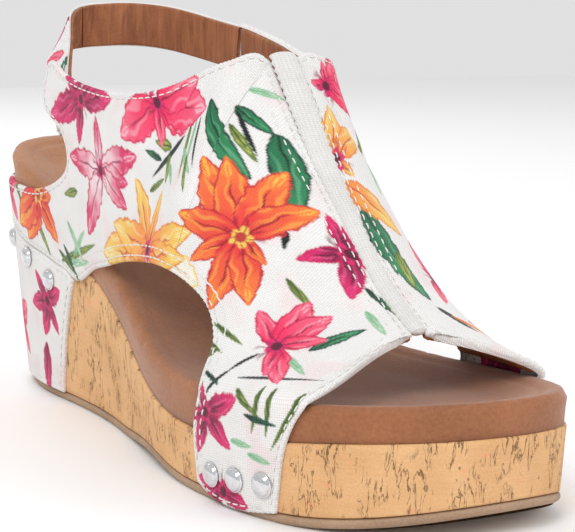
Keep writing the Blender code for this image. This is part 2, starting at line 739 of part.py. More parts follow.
def make_strap():
    """The heel strap: a long part sewn to the medial quarter, and an end that tucks in the lateral one."""
    outer = (CANVAS[0], CANVAS[0] + STRAP_CANVAS)
    inner = (CANVAS[0] - GAP - STRAP_LINING, CANVAS[0] - GAP)
    root = strap_point(STRAP_START, 0.0, 0.0)
    bend = strap_point(STRAP_BEND, 0.0, 0.0)
    parts = (
        ("strap", STRAP_START + STRAP_HINGE_GAP, STRAP_BEND - STRAP_HINGE_GAP, root),
        ("strap_end", STRAP_BEND + STRAP_HINGE_GAP, STRAP_TIP, bend),
    )
    for word, start, stop, origin in parts:
        strap_band(f"{word}_canvas", start, stop, outer, "canvas", origin)
        strap_band(f"{word}_lining", start + 0.2, stop - 0.2, inner, "lining", origin, STRAP_WIDTH - 0.6)
    hook = (outer[1] + GAP, outer[1] + GAP + HOOK_THICKNESS)
    strap_band("hook_patch", *HOOK_TRAVEL, hook, "hook", bend, HOOK_WIDTH)


def make_loop_patch():
    """The soft patch sewn inside the lateral quarter's tab, which the hook patch grips."""
    rear, front = (float(station(LATERAL, y)) for y in LOOP_Y)
    low, high = LOOP_HEIGHT
    outline = [(rear, low), (front, low), (front, high), (rear, high)]
    return panel("loop_patch", LATERAL, outline, LOOP_PATCH, "hook")


# ---- the studs ----------------------------------------------------------------------------------


def dome_stud(name, place, out):
    """A domed nail head with a thin rim and its pin, turned about the direction out."""
    segments = STUD_SEGMENTS
    profile = (
        (0.0, -STUD_PIN_LENGTH), (STUD_PIN_RADIUS, -STUD_PIN_LENGTH + 1.0), (STUD_PIN_RADIUS, 0.0),
        (STUD_RADIUS, 0.0), (STUD_RADIUS, 0.35), (STUD_RADIUS - STUD_RIM, 0.55),
        (STUD_RADIUS * 0.62, STUD_HEIGHT * 0.72), (STUD_RADIUS * 0.32, STUD_HEIGHT * 0.95),
        (0.0, STUD_HEIGHT),
    )
    points = []
    faces = []
    frame = Vector(out).to_track_quat("Z", "Y").to_matrix()
    rings = profile[1:-1]
    for radius, height in rings:
        for i in range(segments):
            angle = 2 * math.pi * i / segments
            local = Vector((radius * math.cos(angle), radius * math.sin(angle), height))
            points.append(tuple(Vector(place) + frame @ local))
    for end in (profile[0], profile[-1]):
        points.append(tuple(Vector(place) + frame @ Vector((0, 0, end[1]))))
    for r in range(len(rings) - 1):
        for i in range(segments):
            j = (i + 1) % segments
            faces.append((r * segments + i, r * segments + j, (r + 1) * segments + j, (r + 1) * segments + i))
    tip = len(rings) * segments
    for i in range(segments):
        j = (i + 1) % segments
        faces.append((i, tip, j))
        faces.append((tip - segments + i, tip - segments + j, tip + 1))
    return make_object(name, points, faces, "chrome", place)


def stud_places():
    for word, side in SIDES.items():
        for group, places in STUDS.items():
            for number, (y, z) in enumerate(places, 1):
                s = np.array([float(station(side, y))])
                h = np.array([z - float(rim_z(y))])
                head = offset_surface(side, s, h, CANVAS[1] + GAP)[0]
                inside = offset_surface(side, s, h, CANVAS[0])[0]
                yield f"{word}_{group}_stud_{number}", head, head - inside


def make_studs():
    """The twelve studs, and one cutter that drills the holes for their pins."""
    drills = []
    for name, place, out in stud_places():
        dome_stud(name, place, out)
        drills.append((place, out))
    cutter = bmesh.new()
    for place, out in drills:
        turn = Vector(out).to_track_quat("Z", "Y").to_matrix().to_4x4()
        middle = Matrix.Translation(Vector(place) * MM) @ turn
        bmesh.ops.create_cone(
            cutter, cap_ends=True, segments=8, radius1=(STUD_PIN_RADIUS + GAP) * MM,
            radius2=(STUD_PIN_RADIUS + GAP) * MM, depth=2 * (STUD_PIN_LENGTH + GAP) * MM, matrix=middle,
        )
    mesh = bpy.data.meshes.new("stud_drill")
    cutter.to_mesh(mesh)
    cutter.free()
    drill = bpy.data.objects.new("stud_drill", mesh)
    drill.location = -MIDDLE * MM
    bpy.context.collection.objects.link(drill)
    for name in ("lateral_upper", "medial_upper", "heel_wrap", "cork_wrap", "wedge_core"):
        cut(bpy.data.objects[name], drill)


def main():
    clear_scene()
    make_outsole()
    make_cork_wrap()
    make_wedge_core()
    make_shank()
    make_insole_board()
    make_footbed_cover()
    make_footbed_foam()
    for word, side in SIDES.items():
        make_upper(word, side)
    make_heel_wrap()
    make_back_tape()
    make_piping()
    make_strap()
    make_loop_patch()
    make_studs()


main()
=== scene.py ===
"""The wedge sandal's looks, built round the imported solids.

Frame: +Z up, toe towards -Y, the foot's outer (lateral) side towards -X. Sizes are in millimetres and
become metres when a mesh is made.
"""

import math

import bpy
import numpy as np
from mathutils import Matrix, Vector, kdtree, noise
from mathutils.geometry import delaunay_2d_cdt


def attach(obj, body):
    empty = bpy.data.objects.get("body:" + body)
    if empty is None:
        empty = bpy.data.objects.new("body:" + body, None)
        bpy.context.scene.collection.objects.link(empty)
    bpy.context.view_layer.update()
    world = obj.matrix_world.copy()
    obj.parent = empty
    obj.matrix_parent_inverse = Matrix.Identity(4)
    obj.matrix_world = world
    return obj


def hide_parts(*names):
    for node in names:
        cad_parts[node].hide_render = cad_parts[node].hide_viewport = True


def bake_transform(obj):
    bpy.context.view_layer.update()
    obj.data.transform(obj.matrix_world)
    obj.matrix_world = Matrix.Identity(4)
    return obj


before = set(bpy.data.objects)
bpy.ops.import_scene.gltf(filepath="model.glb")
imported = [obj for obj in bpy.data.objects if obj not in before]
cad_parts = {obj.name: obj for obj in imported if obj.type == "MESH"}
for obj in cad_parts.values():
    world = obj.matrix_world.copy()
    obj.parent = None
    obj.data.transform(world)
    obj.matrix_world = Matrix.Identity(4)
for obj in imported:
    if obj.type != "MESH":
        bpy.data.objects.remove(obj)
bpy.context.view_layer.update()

MM = 0.001
GAP = 0.3
# The middle of the whole sandal's box in the plan that the sizes below use; it becomes the origin.
MIDDLE = np.array((-0.2, 2.9, 0.0))
LATERAL = -1
MEDIAL = 1
SIDES = {"lateral": LATERAL, "medial": MEDIAL}

# The sole's edge in plan, from the back of the heel round the lateral side to the toe and back.
SOLE_EDGE = (
    (0, 133), (-22, 127), (-32, 106), (-32, 75), (-32, 45), (-36, 16), (-44, -19), (-47, -51),
    (-44, -82), (-33, -105), (-15, -122), (8, -129), (27, -126), (39, -112), (45, -88), (46, -60),
    (40, -25), (30, 10), (27, 40), (29, 75), (30, 103), (21, 126),
)
# Heights above the ground along the sole.
PROFILE_Y = (-129, -85, -45, -10, 25, 60, 95, 133)
CORK_TOP = (28.3, 23.1, 19.3, 24.1, 38.6, 53.2, 65.5, 76.0)
RIM_TOP = (38.4, 34.3, 32.7, 37.0, 51.0, 65.4, 78.0, 88.5)
OUTSOLE_THICKNESS = 3.0
TOE_SPRING = 7.0
TOE_SPRING_FROM = -85
WAIST_LIFT = 2.5
WAIST = (-45, 25)
SOLE_DRAFT = math.tan(math.radians(3))
HEEL_DRAFT = math.tan(math.radians(6))
HEEL_DRAFT_Y = (80, 125)

COVER_EDGE_INSET = 0.8
FOOTBED_DIP = 4.0
FOOTBED_DIP_WIDTH = 22.0

# The collar is the ring that the throat, the quarters' tops and the heel strap follow round the ankle.
COLLAR_X = 3.0
COLLAR_Y = 52.0
COLLAR_HALF_WIDTH = 33.5
COLLAR_FRONT = 67.0
COLLAR_REAR = 60.0
COLLAR_SQUARENESS = 0.65
COLLAR_Z_Y = (-15, -5, 6, 20, 36, 50, 65, 80, 112)
COLLAR_Z = {
    LATERAL: (125.0, 118.0, 113.5, 111.5, 111.0, 112.0, 114.5, 119.0, 122.0),
    MEDIAL: (125.0, 120.5, 120.0, 122.0, 126.0, 129.0, 131.5, 132.0, 132.0),
}
# The centre seam runs from the throat down to the peep toe.
SEAM_Y = (-88, -70, -49, -36, -26, -15)
SEAM_Z = (49.0, 60.0, 81.0, 96.0, 110.0, 125.0)
SEAM_X = (5.0, 5.0, 4.5, 4.0, 3.5, 3.0)
THROAT_STATION = -30.0
FRONT_STATION = -97.0
THROAT_SETBACK = 4.0
ANKLE_STATION = 20.0

CANVAS = (0.55, 1.7)
LINING = (-1.6, -0.6)
PIPING_HALF_WIDTH = 1.9
PIPING_THICKNESS = 2.8
BACK_TAPE_HALF_WIDTH = 4.0
BACK_TAPE_THICKNESS = 0.9
BACK_SEAM_GAP = 0.4
LINING_FOOT = 2.5
LINING_INSET = 1.0

STRAP_WIDTH = 16.0
# The strap's route, by its travel from the throat: the angle round the collar, and the height.
STRAP_TRAVEL = (95, 118, 135, 155, 180, 200, 215, 228, 240, 252, 265)
STRAP_ANGLE = (95, 118, 135, 155, 180, 200, 214, 225, 233, 239, 244)
STRAP_MIDDLE_Z = (122.2, 125.6, 128.2, 129.8, 129.6, 127.4, 123.8, 118.0, 110.5, 102.0, 93.0)
STRAP_LEAN = (0, 0, 0, 0, 4, 20, 31, 26, 8, 0, 0)
STRAP_START = 101.0
STRAP_BEND = 222.0
STRAP_TIP = 262.0
STRAP_DRIFT = -5.4
STRAP_DRIFT_FROM = 122.0
STRAP_SQUARENESS = 0.8
STRAP_CANVAS = 1.2
STRAP_LINING = 1.0

STUD_RADIUS = 3.7
STUD_HEIGHT = 1.9
# Each stud's place on its side: distance along Y and height above the ground.
STUDS = {
    "vamp": ((-62.0, 9.0), (-73.0, 10.0), (-84.0, 11.0)),
    "heel": ((115.0, 53.0), (95.0, 48.8), (77.5, 43.0)),
}


EDGE_STEP = 5.0
EDGE_FADE = 25.0

# ---- curves -------------------------------------------------------------------------------------


def spline(knots, values, at):
    """A natural cubic through the knots, read at the given places and held level past both ends."""
    x = np.asarray(knots, float)
    y = np.asarray(values, float)
    gap = np.diff(x)
    slope = np.diff(y) / gap
    system = np.eye(len(x))
    right = np.zeros(len(x))
    for i in range(1, len(x) - 1):
        system[i, i - 1: i + 2] = gap[i - 1], 2 * (gap[i - 1] + gap[i]), gap[i]
        right[i] = 6 * (slope[i] - slope[i - 1])
    bend = np.linalg.solve(system, right)
    at = np.clip(np.asarray(at, float), x[0], x[-1])
    i = np.clip(np.searchsorted(x, at) - 1, 0, len(gap) - 1)
    a = at - x[i]
    b = x[i + 1] - at
    cubic = (bend[i] * b**3 + bend[i + 1] * a**3) / (6 * gap[i])
    before = (y[i] / gap[i] - bend[i] * gap[i] / 6) * b
    after = (y[i + 1] / gap[i] - bend[i + 1] * gap[i] / 6) * a
    return cubic + before + after


def closed_spline(points, count):
    """A smooth closed curve through the points, as count points evenly spaced along its length."""
    wrapped = 3
    ring = np.array(points[-wrapped:] + points + points[:wrapped + 1], float)
    knots = np.arange(len(ring)) - wrapped
    fine = np.linspace(0, len(points), 40 * count + 1)
    curve = np.stack([spline(knots, ring[:, axis], fine) for axis in (0, 1)], axis=1)
    length = np.concatenate([[0], np.cumsum(np.linalg.norm(np.diff(curve, axis=0), axis=1))])
    even = np.linspace(0, length[-1], count, endpoint=False)
    return np.stack([np.interp(even, length, curve[:, axis]) for axis in (0, 1)], axis=1)


def smooth_step(value, low, high):
    part = np.clip((np.asarray(value, float) - low) / (high - low), 0, 1)
    return part * part * (3 - 2 * part)


EDGE = closed_spline(SOLE_EDGE, 720)
EDGE_NEXT = np.roll(EDGE, -1, axis=0) - np.roll(EDGE, 1, axis=0)
EDGE_OUT = np.stack([EDGE_NEXT[:, 1], -EDGE_NEXT[:, 0]], axis=1)
EDGE_OUT /= np.linalg.norm(EDGE_OUT, axis=1)[:, None]
EDGE_SPACING = np.linalg.norm(EDGE[1] - EDGE[0])


def ground_z(y):
    y = np.asarray(y, float)
    toe = TOE_SPRING * (np.clip(TOE_SPRING_FROM - y, 0, None) / (TOE_SPRING_FROM + 129)) ** 2
    waist = np.clip((y - WAIST[0]) / (WAIST[1] - WAIST[0]), 0, 1)
    return toe + WAIST_LIFT * np.sin(math.pi * waist) ** 2


def cork_z(y):
    return spline(PROFILE_Y, CORK_TOP, y)


def rim_z(y):
    return spline(PROFILE_Y, RIM_TOP, y)


def outsole_top_z(y):
    return ground_z(y) + OUTSOLE_THICKNESS


def draft_at(y, z):
    """How far the sole's side has drawn in at a height below the rim; the heel slopes the most."""
    slope = SOLE_DRAFT + (HEEL_DRAFT - SOLE_DRAFT) * smooth_step(y, *HEEL_DRAFT_Y)
    return slope * np.clip(rim_z(y) - z, 0, None)


def edge_at(side, s):
    """Point and outward direction of the sole's edge, s along it from the back of the heel."""
    place = np.asarray(s, float) / EDGE_SPACING * (1 if side == LATERAL else -1)
    low = np.floor(place).astype(int)
    part = (place - low)[..., None]
    ring = len(EDGE)
    point = EDGE[low % ring] * (1 - part) + EDGE[(low + 1) % ring] * part
    out = EDGE_OUT[low % ring] * (1 - part) + EDGE_OUT[(low + 1) % ring] * part
    return point, out


def station(side, y):
    """How far along the sole's edge from the heel the given Y lies."""
    s = np.arange(0, 330.0, 0.5)
    edge_y = edge_at(side, s)[0][:, 1]
    last = int(np.argmin(edge_y))
    return np.interp(-np.asarray(y, float), -edge_y[: last + 1], s[: last + 1])


# ---- the surface that the upper follows -------------------------------------------------------


def squared(value, power=COLLAR_SQUARENESS):
    """Rounds an ellipse's sine or cosine out towards a rectangle."""
    return np.sign(value) * np.abs(value) ** power


def collar_angle(y):
    """The collar's angle at a given y."""
    reach = np.where(y < COLLAR_Y, COLLAR_FRONT, COLLAR_REAR)
    part = np.clip((COLLAR_Y - y) / reach, -1, 1)
    return np.arccos(np.sign(part) * np.abs(part) ** (1 / COLLAR_SQUARENESS))


def collar_point(side, angle):
    """The collar, angle in radians from the throat (0) by the side (90 degrees) to the heel (180)."""
    reach = np.where(np.cos(angle) > 0, COLLAR_FRONT, COLLAR_REAR)
    x = COLLAR_X + side * COLLAR_HALF_WIDTH * squared(np.sin(angle))
    y = COLLAR_Y - reach * squared(np.cos(angle))
    return np.stack([x, y, spline(COLLAR_Z_Y, COLLAR_Z[side], y)], axis=-1)


def top_point(side, y):
    """Where the surface ends above the edge station at y: on the collar, or on the centre seam."""
    behind = collar_angle(y)
    ankle = float(collar_angle(ANKLE_STATION))
    beside = ankle * (y - THROAT_STATION) / (ANKLE_STATION - THROAT_STATION)
    angle = np.where(y > ANKLE_STATION, behind, np.clip(beside, 0, None))
    down = np.clip((THROAT_STATION - y) / (THROAT_STATION - FRONT_STATION), 0, 1)
    seam_y = SEAM_Y[-1] + (SEAM_Y[0] - SEAM_Y[-1]) * down
    seam = np.stack([spline(SEAM_Y, SEAM_X, seam_y), seam_y, spline(SEAM_Y, SEAM_Z, seam_y)], axis=-1)
    return np.where((y < THROAT_STATION)[..., None], seam, collar_point(side, angle))


def upper_arc(side, s, part):
    """Points of the arcs that rise from the rim at s to the collar or seam; part runs from 0 to 1."""
    edge, _ = edge_at(side, s)
    y = edge[..., 1]
    low = np.concatenate([edge, rim_z(y)[..., None]], axis=-1)
    high = top_point(side, y)
    span = np.linalg.norm(high - low, axis=-1)[..., None]
    over = 1 - smooth_step(y, -62, 12)[..., None]
    arrive = over * np.array([-side, 0.0, 0.12]) + (1 - over) * np.array([-0.12 * side, 0.08, 1.0])
    arrive /= np.linalg.norm(arrive, axis=-1)[..., None]
    flat = 1 - smooth_step(y, -72, -5)[..., None]
    first = low + span * np.array([0.0, 0.0, 1.0]) * (0.34 - 0.26 * flat)
    second = high - arrive * span * (0.36 - 0.10 * flat)
    t = np.asarray(part, float)[..., None]
    return low * (1 - t) ** 3 + first * 3 * t * (1 - t) ** 2 + second * 3 * t**2 * (1 - t) + high * t**3


def arc_lengths(side, s):
    parts = np.linspace(0, 1, 33)
    points = upper_arc(side, np.asarray(s, float)[:, None], parts[None, :] * np.ones((len(s), 1)))
    steps = np.linalg.norm(np.diff(points, axis=1), axis=2)
    return parts, np.concatenate([np.zeros((len(s), 1)), np.cumsum(steps, axis=1)], axis=1)


def height_of_top(side, s):
    return arc_lengths(side, np.atleast_1d(s))[1][:, -1]


def surface(side, s, h):
    """The surface under the canvas, h being the height over the rim: below it runs down the sole's side."""
    s = np.asarray(s, float)
    h = np.asarray(h, float)
    edge, out = edge_at(side, s)
    wall_z = rim_z(edge[:, 1]) + h
    wall = np.concatenate([edge - out * draft_at(edge[:, 1], wall_z)[:, None], wall_z[:, None]], axis=1)
    parts, lengths = arc_lengths(side, s)
    t = np.array([np.interp(value, row, parts) for value, row in zip(h, lengths)])
    past = np.clip(h - lengths[:, -1], 0, None) / (lengths[:, -1] - lengths[:, -2]) * (parts[1] - parts[0])
    t = t + past
    return np.where((h <= 0)[:, None], wall, upper_arc(side, s, t))


def offset_surface(side, s, h, offset):
    """The surface moved outwards by offset along its normal."""
    step = 0.6
    along = surface(side, s + step, h) - surface(side, s - step, h)
    lift = surface(side, s, h + step) - surface(side, s, h - step)
    normal = np.cross(along, lift) * (1 if side == LATERAL else -1)
    normal /= np.linalg.norm(normal, axis=1)[:, None]
    return surface(side, s, h) + normal * np.reshape(offset, (-1, 1))


# ---- solids


def resample(outline, step):
    """Points about one step apart along a closed outline, its corners kept."""
    made = []
    for a, b in zip(outline, outline[1:] + outline[:1]):
        count = max(1, round(math.dist(a, b) / step))
        made += [(a[0] + (b[0] - a[0]) * i / count, a[1] + (b[1] - a[1]) * i / count) for i in range(count)]
    return made


def fill(outline, step):
    """Triangles over a flat closed outline, with inner points on a grid."""
    ring = resample(outline, step)
    corners = np.array(ring)
    low = corners.min(axis=0)
    high = corners.max(axis=0)
    grid = [
        (x, y)
        for i, x in enumerate(np.arange(low[0] + step / 2, high[0], step))
        for y in np.arange(low[1] + step * (0.25 + 0.5 * (i % 2)), high[1], step)
    ]
    clear = [g for g in grid if np.min(np.hypot(*(corners - g).T)) > 0.6 * step]
    points = [Vector(p) for p in ring + clear]
    loop = list(range(len(ring)))
    done = delaunay_2d_cdt(points, [], [loop], 1, 1e-6)
    used = sorted({i for face in done[2] for i in face})
    place = {old: new for new, old in enumerate(used)}
    return np.array([tuple(done[0][i]) for i in used]), [tuple(place[i] for i in face) for face in done[2]]


def plan_outline(step=EDGE_STEP):
    """The sole's edge in plan, as points about one step apart."""
    return [tuple(p) for p in EDGE[::int(round(step / EDGE_SPACING))]]


def drawn_in(flat, height, extra):
    """Plan points moved inwards to the side's draft at a height plus an extra, fading out inwards."""
    nearest = np.argmin(np.hypot(flat[:, :1] - EDGE[None, :, 0], flat[:, 1:] - EDGE[None, :, 1]), axis=1)
    fade = np.clip(1 - np.hypot(*(flat - EDGE[nearest]).T) / EDGE_FADE, 0, 1)
    inset = draft_at(flat[:, 1], height(*flat.T)) + extra
    moved = flat - EDGE_OUT[nearest] * (inset * fade)[:, None]
    return np.column_stack([moved, height(*moved.T)])


def footbed_top_z(x, y):
    """The footbed's upper face: level with the rim at the edge and dipping under the foot."""
    nearest = np.array([np.min(np.hypot(EDGE[:, 0] - a, EDGE[:, 1] - b)) for a, b in zip(x, y)])
    return rim_z(y) - FOOTBED_DIP * smooth_step(nearest, 1.5, FOOTBED_DIP_WIDTH)


# Edges of the upper's pieces as (y, height over the rim).
ARCH_EDGE = (
    (-55.5, 0), (-56, 6), (-56, 12), (-53.5, 17.5), (-48.5, 23), (-42, 26.5), (-34, 28.5), (-24, 28.5),
    (-3, 22), (16, 11), (29, 2), (46, -10), (59, -19),
)
ARCH_EDGE_OVER_RIM = slice(1, 10)
BASE_REAR = ((-56, None), (-53, -28), (-52, -20), (-52.5, -8))
BASE_FRONT = ((-97, 0), (-95, -3), (-92, -9), (-90, -16), (-89, -23), (-88, None))
WRAP_LINE = ((64, -19.5), (72, -21), (82, -22.5), (95, -25), (108, -26))
WRAP_LINE_BACK = -27
WRAP_FRONT = ((60.5, -20.5), (65, -33), (69, -48), (72, None))
COUNTER_TOP = ((115, -9.5), (105, -7), (94, -4), (82, 1))
COUNTER_TOP_BACK = -11.5
QUARTER_REAR = {
    LATERAL: (
        (75.5, 5), (68, 11), (63.5, 16), (62, 20.5), (64, 25), (68.5, 27.5), (76, 28), (82, 29.5), (84, 33),
        (83, 38), (81.5, 44),
    ),
    MEDIAL: (
        (75.5, 5), (68, 11), (63.5, 16), (61.5, 21), (61.5, 27), (62.5, 33), (64, 39), (65, 45), (65, 50),
    ),
}
QUARTER_TOP_REAR = {LATERAL: 79.0, MEDIAL: 65.0}


def wall_foot(y):
    """Height over the rim of the sole side's lower end."""
    return float(outsole_top_z(y) + GAP - rim_z(y))


def edge_points(side, places):
    return [(float(station(side, y)), wall_foot(y) if h is None else h) for y, h in places]


def seam_edge(side, room):
    """The panel's edge beside the piping; near the throat the arcs meet the seam at a slant."""
    y = np.linspace(THROAT_STATION, FRONT_STATION, 14)
    s = station(side, y)
    slant = 1 + 0.8 * smooth_step(y, -65, THROAT_STATION)
    h = height_of_top(side, s) - (PIPING_HALF_WIDTH + room) * slant
    return list(zip(s, h))[::-1]


def collar_edge(side, rear, below):
    """The top edge from beside the throat back to the quarter's tab."""
    s = station(side, np.linspace(rear, THROAT_STATION + THROAT_SETBACK, 15))
    return list(zip(s, height_of_top(side, s) - below))[::-1]


def upper_outline(side):
    """The canvas of one half of the upper, from the back seam round the arch to the peep toe."""
    outline = [(BACK_SEAM_GAP, WRAP_LINE_BACK + GAP)]
    outline += [(s, h + GAP) for s, h in reversed(edge_points(side, WRAP_LINE))]
    outline += list(reversed(edge_points(side, ARCH_EDGE)))
    outline += list(reversed(edge_points(side, BASE_REAR)))
    outline += list(reversed(edge_points(side, BASE_FRONT)))
    outline += seam_edge(side, 2 * GAP)
    outline += collar_edge(side, QUARTER_TOP_REAR[side], 0.0)
    outline += list(reversed(edge_points(side, QUARTER_REAR[side])))
    outline += list(reversed(edge_points(side, COUNTER_TOP)))
    outline += [(BACK_SEAM_GAP, COUNTER_TOP_BACK)]
    return outline


def lining_outline(side):
    """The lining stops above the footbed's rim and just short of the canvas's edges."""
    arch = [(s, h + LINING_INSET) for s, h in edge_points(side, ARCH_EDGE[ARCH_EDGE_OVER_RIM])]
    outline = [(float(station(side, 74)), LINING_FOOT + 3.0)]
    outline += [(float(station(side, y)), LINING_FOOT) for y in (60, 34)]
    outline += list(reversed(arch))
    outline += [(float(station(side, y)), LINING_FOOT) for y in (-56.5, -78, FRONT_STATION + 1)]
    outline += seam_edge(side, 3 * GAP)
    outline += collar_edge(side, QUARTER_TOP_REAR[side] - 2, LINING_INSET)
    rear = [(y - LINING_INSET, h) for y, h in QUARTER_REAR[side][1:]]
    outline += list(reversed(edge_points(side, rear)))
    return outline


def strap_path(travel):
    """The strap's middle line, from the medial quarter round the heel and down inside the lateral one."""
    turn = np.radians(spline(STRAP_TRAVEL, STRAP_ANGLE, travel))
    drift = np.interp(travel, (STRAP_DRIFT_FROM, STRAP_TIP), (0.0, STRAP_DRIFT))
    reach = np.where(np.cos(turn) > 0, COLLAR_FRONT, COLLAR_REAR) + drift
    x = COLLAR_X + (COLLAR_HALF_WIDTH + drift) * squared(np.sin(turn), STRAP_SQUARENESS)
    y = COLLAR_Y - reach * squared(np.cos(turn), STRAP_SQUARENESS)
    return np.stack([x, y, spline(STRAP_TRAVEL, STRAP_MIDDLE_Z, travel)], axis=-1)


def strap_point(travel, lift, offset):
    """A point of the strap, lift across its width and offset outwards from its middle surface."""
    travel = np.asarray(travel, float)
    along = strap_path(travel + 1.0) - strap_path(travel - 1.0)
    out = np.stack([-along[..., 1], along[..., 0], np.zeros_like(travel)], axis=-1)
    out /= -np.linalg.norm(out, axis=-1, keepdims=True)
    up = np.cross(along, out)
    up /= -np.linalg.norm(up, axis=-1, keepdims=True)
    lean = np.radians(spline(STRAP_TRAVEL, STRAP_LEAN, travel))[..., None]
    across = up * np.cos(lean) - out * np.sin(lean)
    facing = out * np.cos(lean) + up * np.sin(lean)
    return strap_path(travel) + across * lift + facing * offset


def stud_places():
    for word, side in SIDES.items():
        for group, places in STUDS.items():
            for number, (y, z) in enumerate(places, 1):
                s = np.array([float(station(side, y))])
                h = np.array([z - float(rim_z(y))])
                head = offset_surface(side, s, h, CANVAS[1] + GAP)[0]
                inside = offset_surface(side, s, h, CANVAS[0])[0]
                yield f"{word}_{group}_stud_{number}", head, head - inside

# ---- making pieces ------------------------------------------------------------------------------

CLOTH_STEP = 1.9
CLOTH_ROUNDING = 1.1
ROW_WIDTH = 0.45
ROW_DEPTH = 0.28
STITCH = 2.3
STITCH_GAP = 1.0
THREAD = 0.27
UPPER_ROWS = (1.7,)


def srgb(red, green, blue):
    """A colour as the renderer counts it."""
    part = np.array((red, green, blue)) / 255
    return np.where(part < 0.04045, part / 12.92, ((part + 0.055) / 1.055) ** 2.4)


def make_piece(name, points, faces, finish, body="sandal", uv=None, tint=None):
    """A smooth mesh from points in millimetres that rides on a body, with its own plan and print."""
    mesh = bpy.data.meshes.new(name)
    placed = (np.asarray(points) - MIDDLE) * MM
    mesh.from_pydata(placed.tolist(), [], [tuple(int(i) for i in f) for f in faces])
    if uv is not None:
        index = np.empty(len(mesh.loops), np.int32)
        mesh.loops.foreach_get("vertex_index", index)
        mesh.uv_layers.new(name="plan").data.foreach_set("uv", np.asarray(uv, float)[index].ravel())
    if tint is not None:
        layer = mesh.attributes.new("print", "FLOAT_COLOR", "POINT")
        layer.data.foreach_set("color", np.column_stack([tint, np.ones(len(tint))]).ravel())
    mesh.shade_smooth()
    mesh.materials.append(finish)
    obj = bpy.data.objects.new(name, mesh)
    bpy.context.collection.objects.link(obj)
    if body:
        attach(obj, body)
    return obj


def halve(flat, faces):
    """Splits every triangle into four."""
    tri = np.array(faces)
    pairs = np.sort(np.concatenate([tri[:, [0, 1]], tri[:, [1, 2]], tri[:, [2, 0]]]), axis=1)
    unique, where = np.unique(pairs, axis=0, return_inverse=True)
    ab, bc, ca = where.reshape(3, -1) + len(flat)
    a, b, c = tri.T
    made = [np.stack(t, axis=1) for t in ((a, ab, ca), (ab, b, bc), (ca, bc, c), (ab, bc, ca))]
    return np.concatenate([flat, flat[unique].mean(axis=1)]), np.concatenate(made)


def soften(outline, step, corner=48):
    """The outline with its gentle turns rounded and its corners kept."""
    ring = np.array(outline, float)
    ahead = np.roll(ring, -1, axis=0) - ring
    heading = np.degrees(np.arctan2(ahead[:, 1], ahead[:, 0]))
    turn = np.abs((heading - np.roll(heading, 1) + 180) % 360 - 180)
    corners = [int(i) for i in np.where(turn > corner)[0]]
    made = []
    for first, last in zip(corners, corners[1:] + [corners[0] + len(ring)]):
        chunk = ring[np.arange(first, last + 1) % len(ring)]
        knots = np.concatenate([[0], np.cumsum(np.hypot(*np.diff(chunk, axis=0).T))])
        at = np.linspace(0, knots[-1], max(2, round(knots[-1] / step) + 1))[:-1]
        made += list(zip(spline(knots, chunk[:, 0], at), spline(knots, chunk[:, 1], at)))
    return made


def distance_to(flat, ring):
    """How far each plan point lies inside the outline."""
    fine = resample(ring, 0.4)
    tree = kdtree.KDTree(len(fine))
    for i, p in enumerate(fine):
        tree.insert((*p, 0.0), i)
    tree.balance()
    return np.array([tree.find((x, y, 0.0))[2] for x, y in flat])


def noise_at(places, scale, seed=0.0):
    return np.array([noise.noise((x / scale, y / scale, seed)) for x, y in places])


def inward(flat, rim):
    """The direction into the piece at each point of its rim."""
    turn = np.zeros_like(flat)
    for a, b in rim:
        step = flat[b] - flat[a]
        turn[a] += (-step[1], step[0])
        turn[b] += (-step[1], step[0])
    return turn / np.maximum(np.hypot(*turn.T), 1e-9)[:, None]


def rim_of(faces):
    tri = np.array(faces)
    edges = np.concatenate([tri[:, [0, 1]], tri[:, [1, 2]], tri[:, [2, 0]]])
    size = edges.max() + 1
    back = set((edges[:, 1] * size + edges[:, 0]).tolist())
    return edges[[k not in back for k in (edges[:, 0] * size + edges[:, 1]).tolist()]]


def cloth(name, side, outline, layer, finish, halvings, paint, rows=(), puckers=0.1, body="sandal"):
    """A cut piece of cloth laid on the surface: rolled edges, sewn-down rows and soft puckers."""
    ring = soften(outline, CLOTH_STEP)
    flat, faces = fill(ring, CLOTH_STEP)
    for _ in range(halvings):
        flat, faces = halve(flat, faces)
    inside = distance_to(flat, ring)
    low, high = layer
    facing = 1 if high > low else -1
    part = np.clip(inside / CLOTH_ROUNDING, 0, 1)
    offset = low + (high - low) * np.sqrt(1 - (1 - part) ** 2)
    for row in rows:
        offset -= facing * ROW_DEPTH * np.exp(-(((inside - row) / ROW_WIDTH) ** 2))
    offset += facing * puckers * noise_at(flat, 7.0) * np.clip(inside / 3, 0, 1)
    rim = rim_of(faces)
    into = inward(flat, rim)
    edge = np.unique(rim)
    place = np.full(len(flat), -1)
    place[edge] = np.arange(len(edge))
    plan = [flat]
    lifts = [offset]
    for shift, drop in ((0.15, 0.5), (0.9, 1.4)):
        plan.append(flat[edge] + into[edge] * shift)
        lifts.append(np.full(len(edge), low - facing * drop))
    made = [tuple(f) for f in faces]
    first = len(flat)
    second = first + len(edge)
    for a, b in rim:
        pa, pb = place[a], place[b]
        made.append((b, a, first + pa, first + pb))
        made.append((first + pb, first + pa, second + pa, second + pb))
    every = np.concatenate(plan)
    points = offset_surface(side, every[:, 0], every[:, 1], np.concatenate(lifts))
    if (side == MEDIAL) != (facing < 0):
        made = [f[::-1] for f in made]
    tint = paint(every) if paint else None
    return make_piece(name, points, made, finish, body, every, tint)


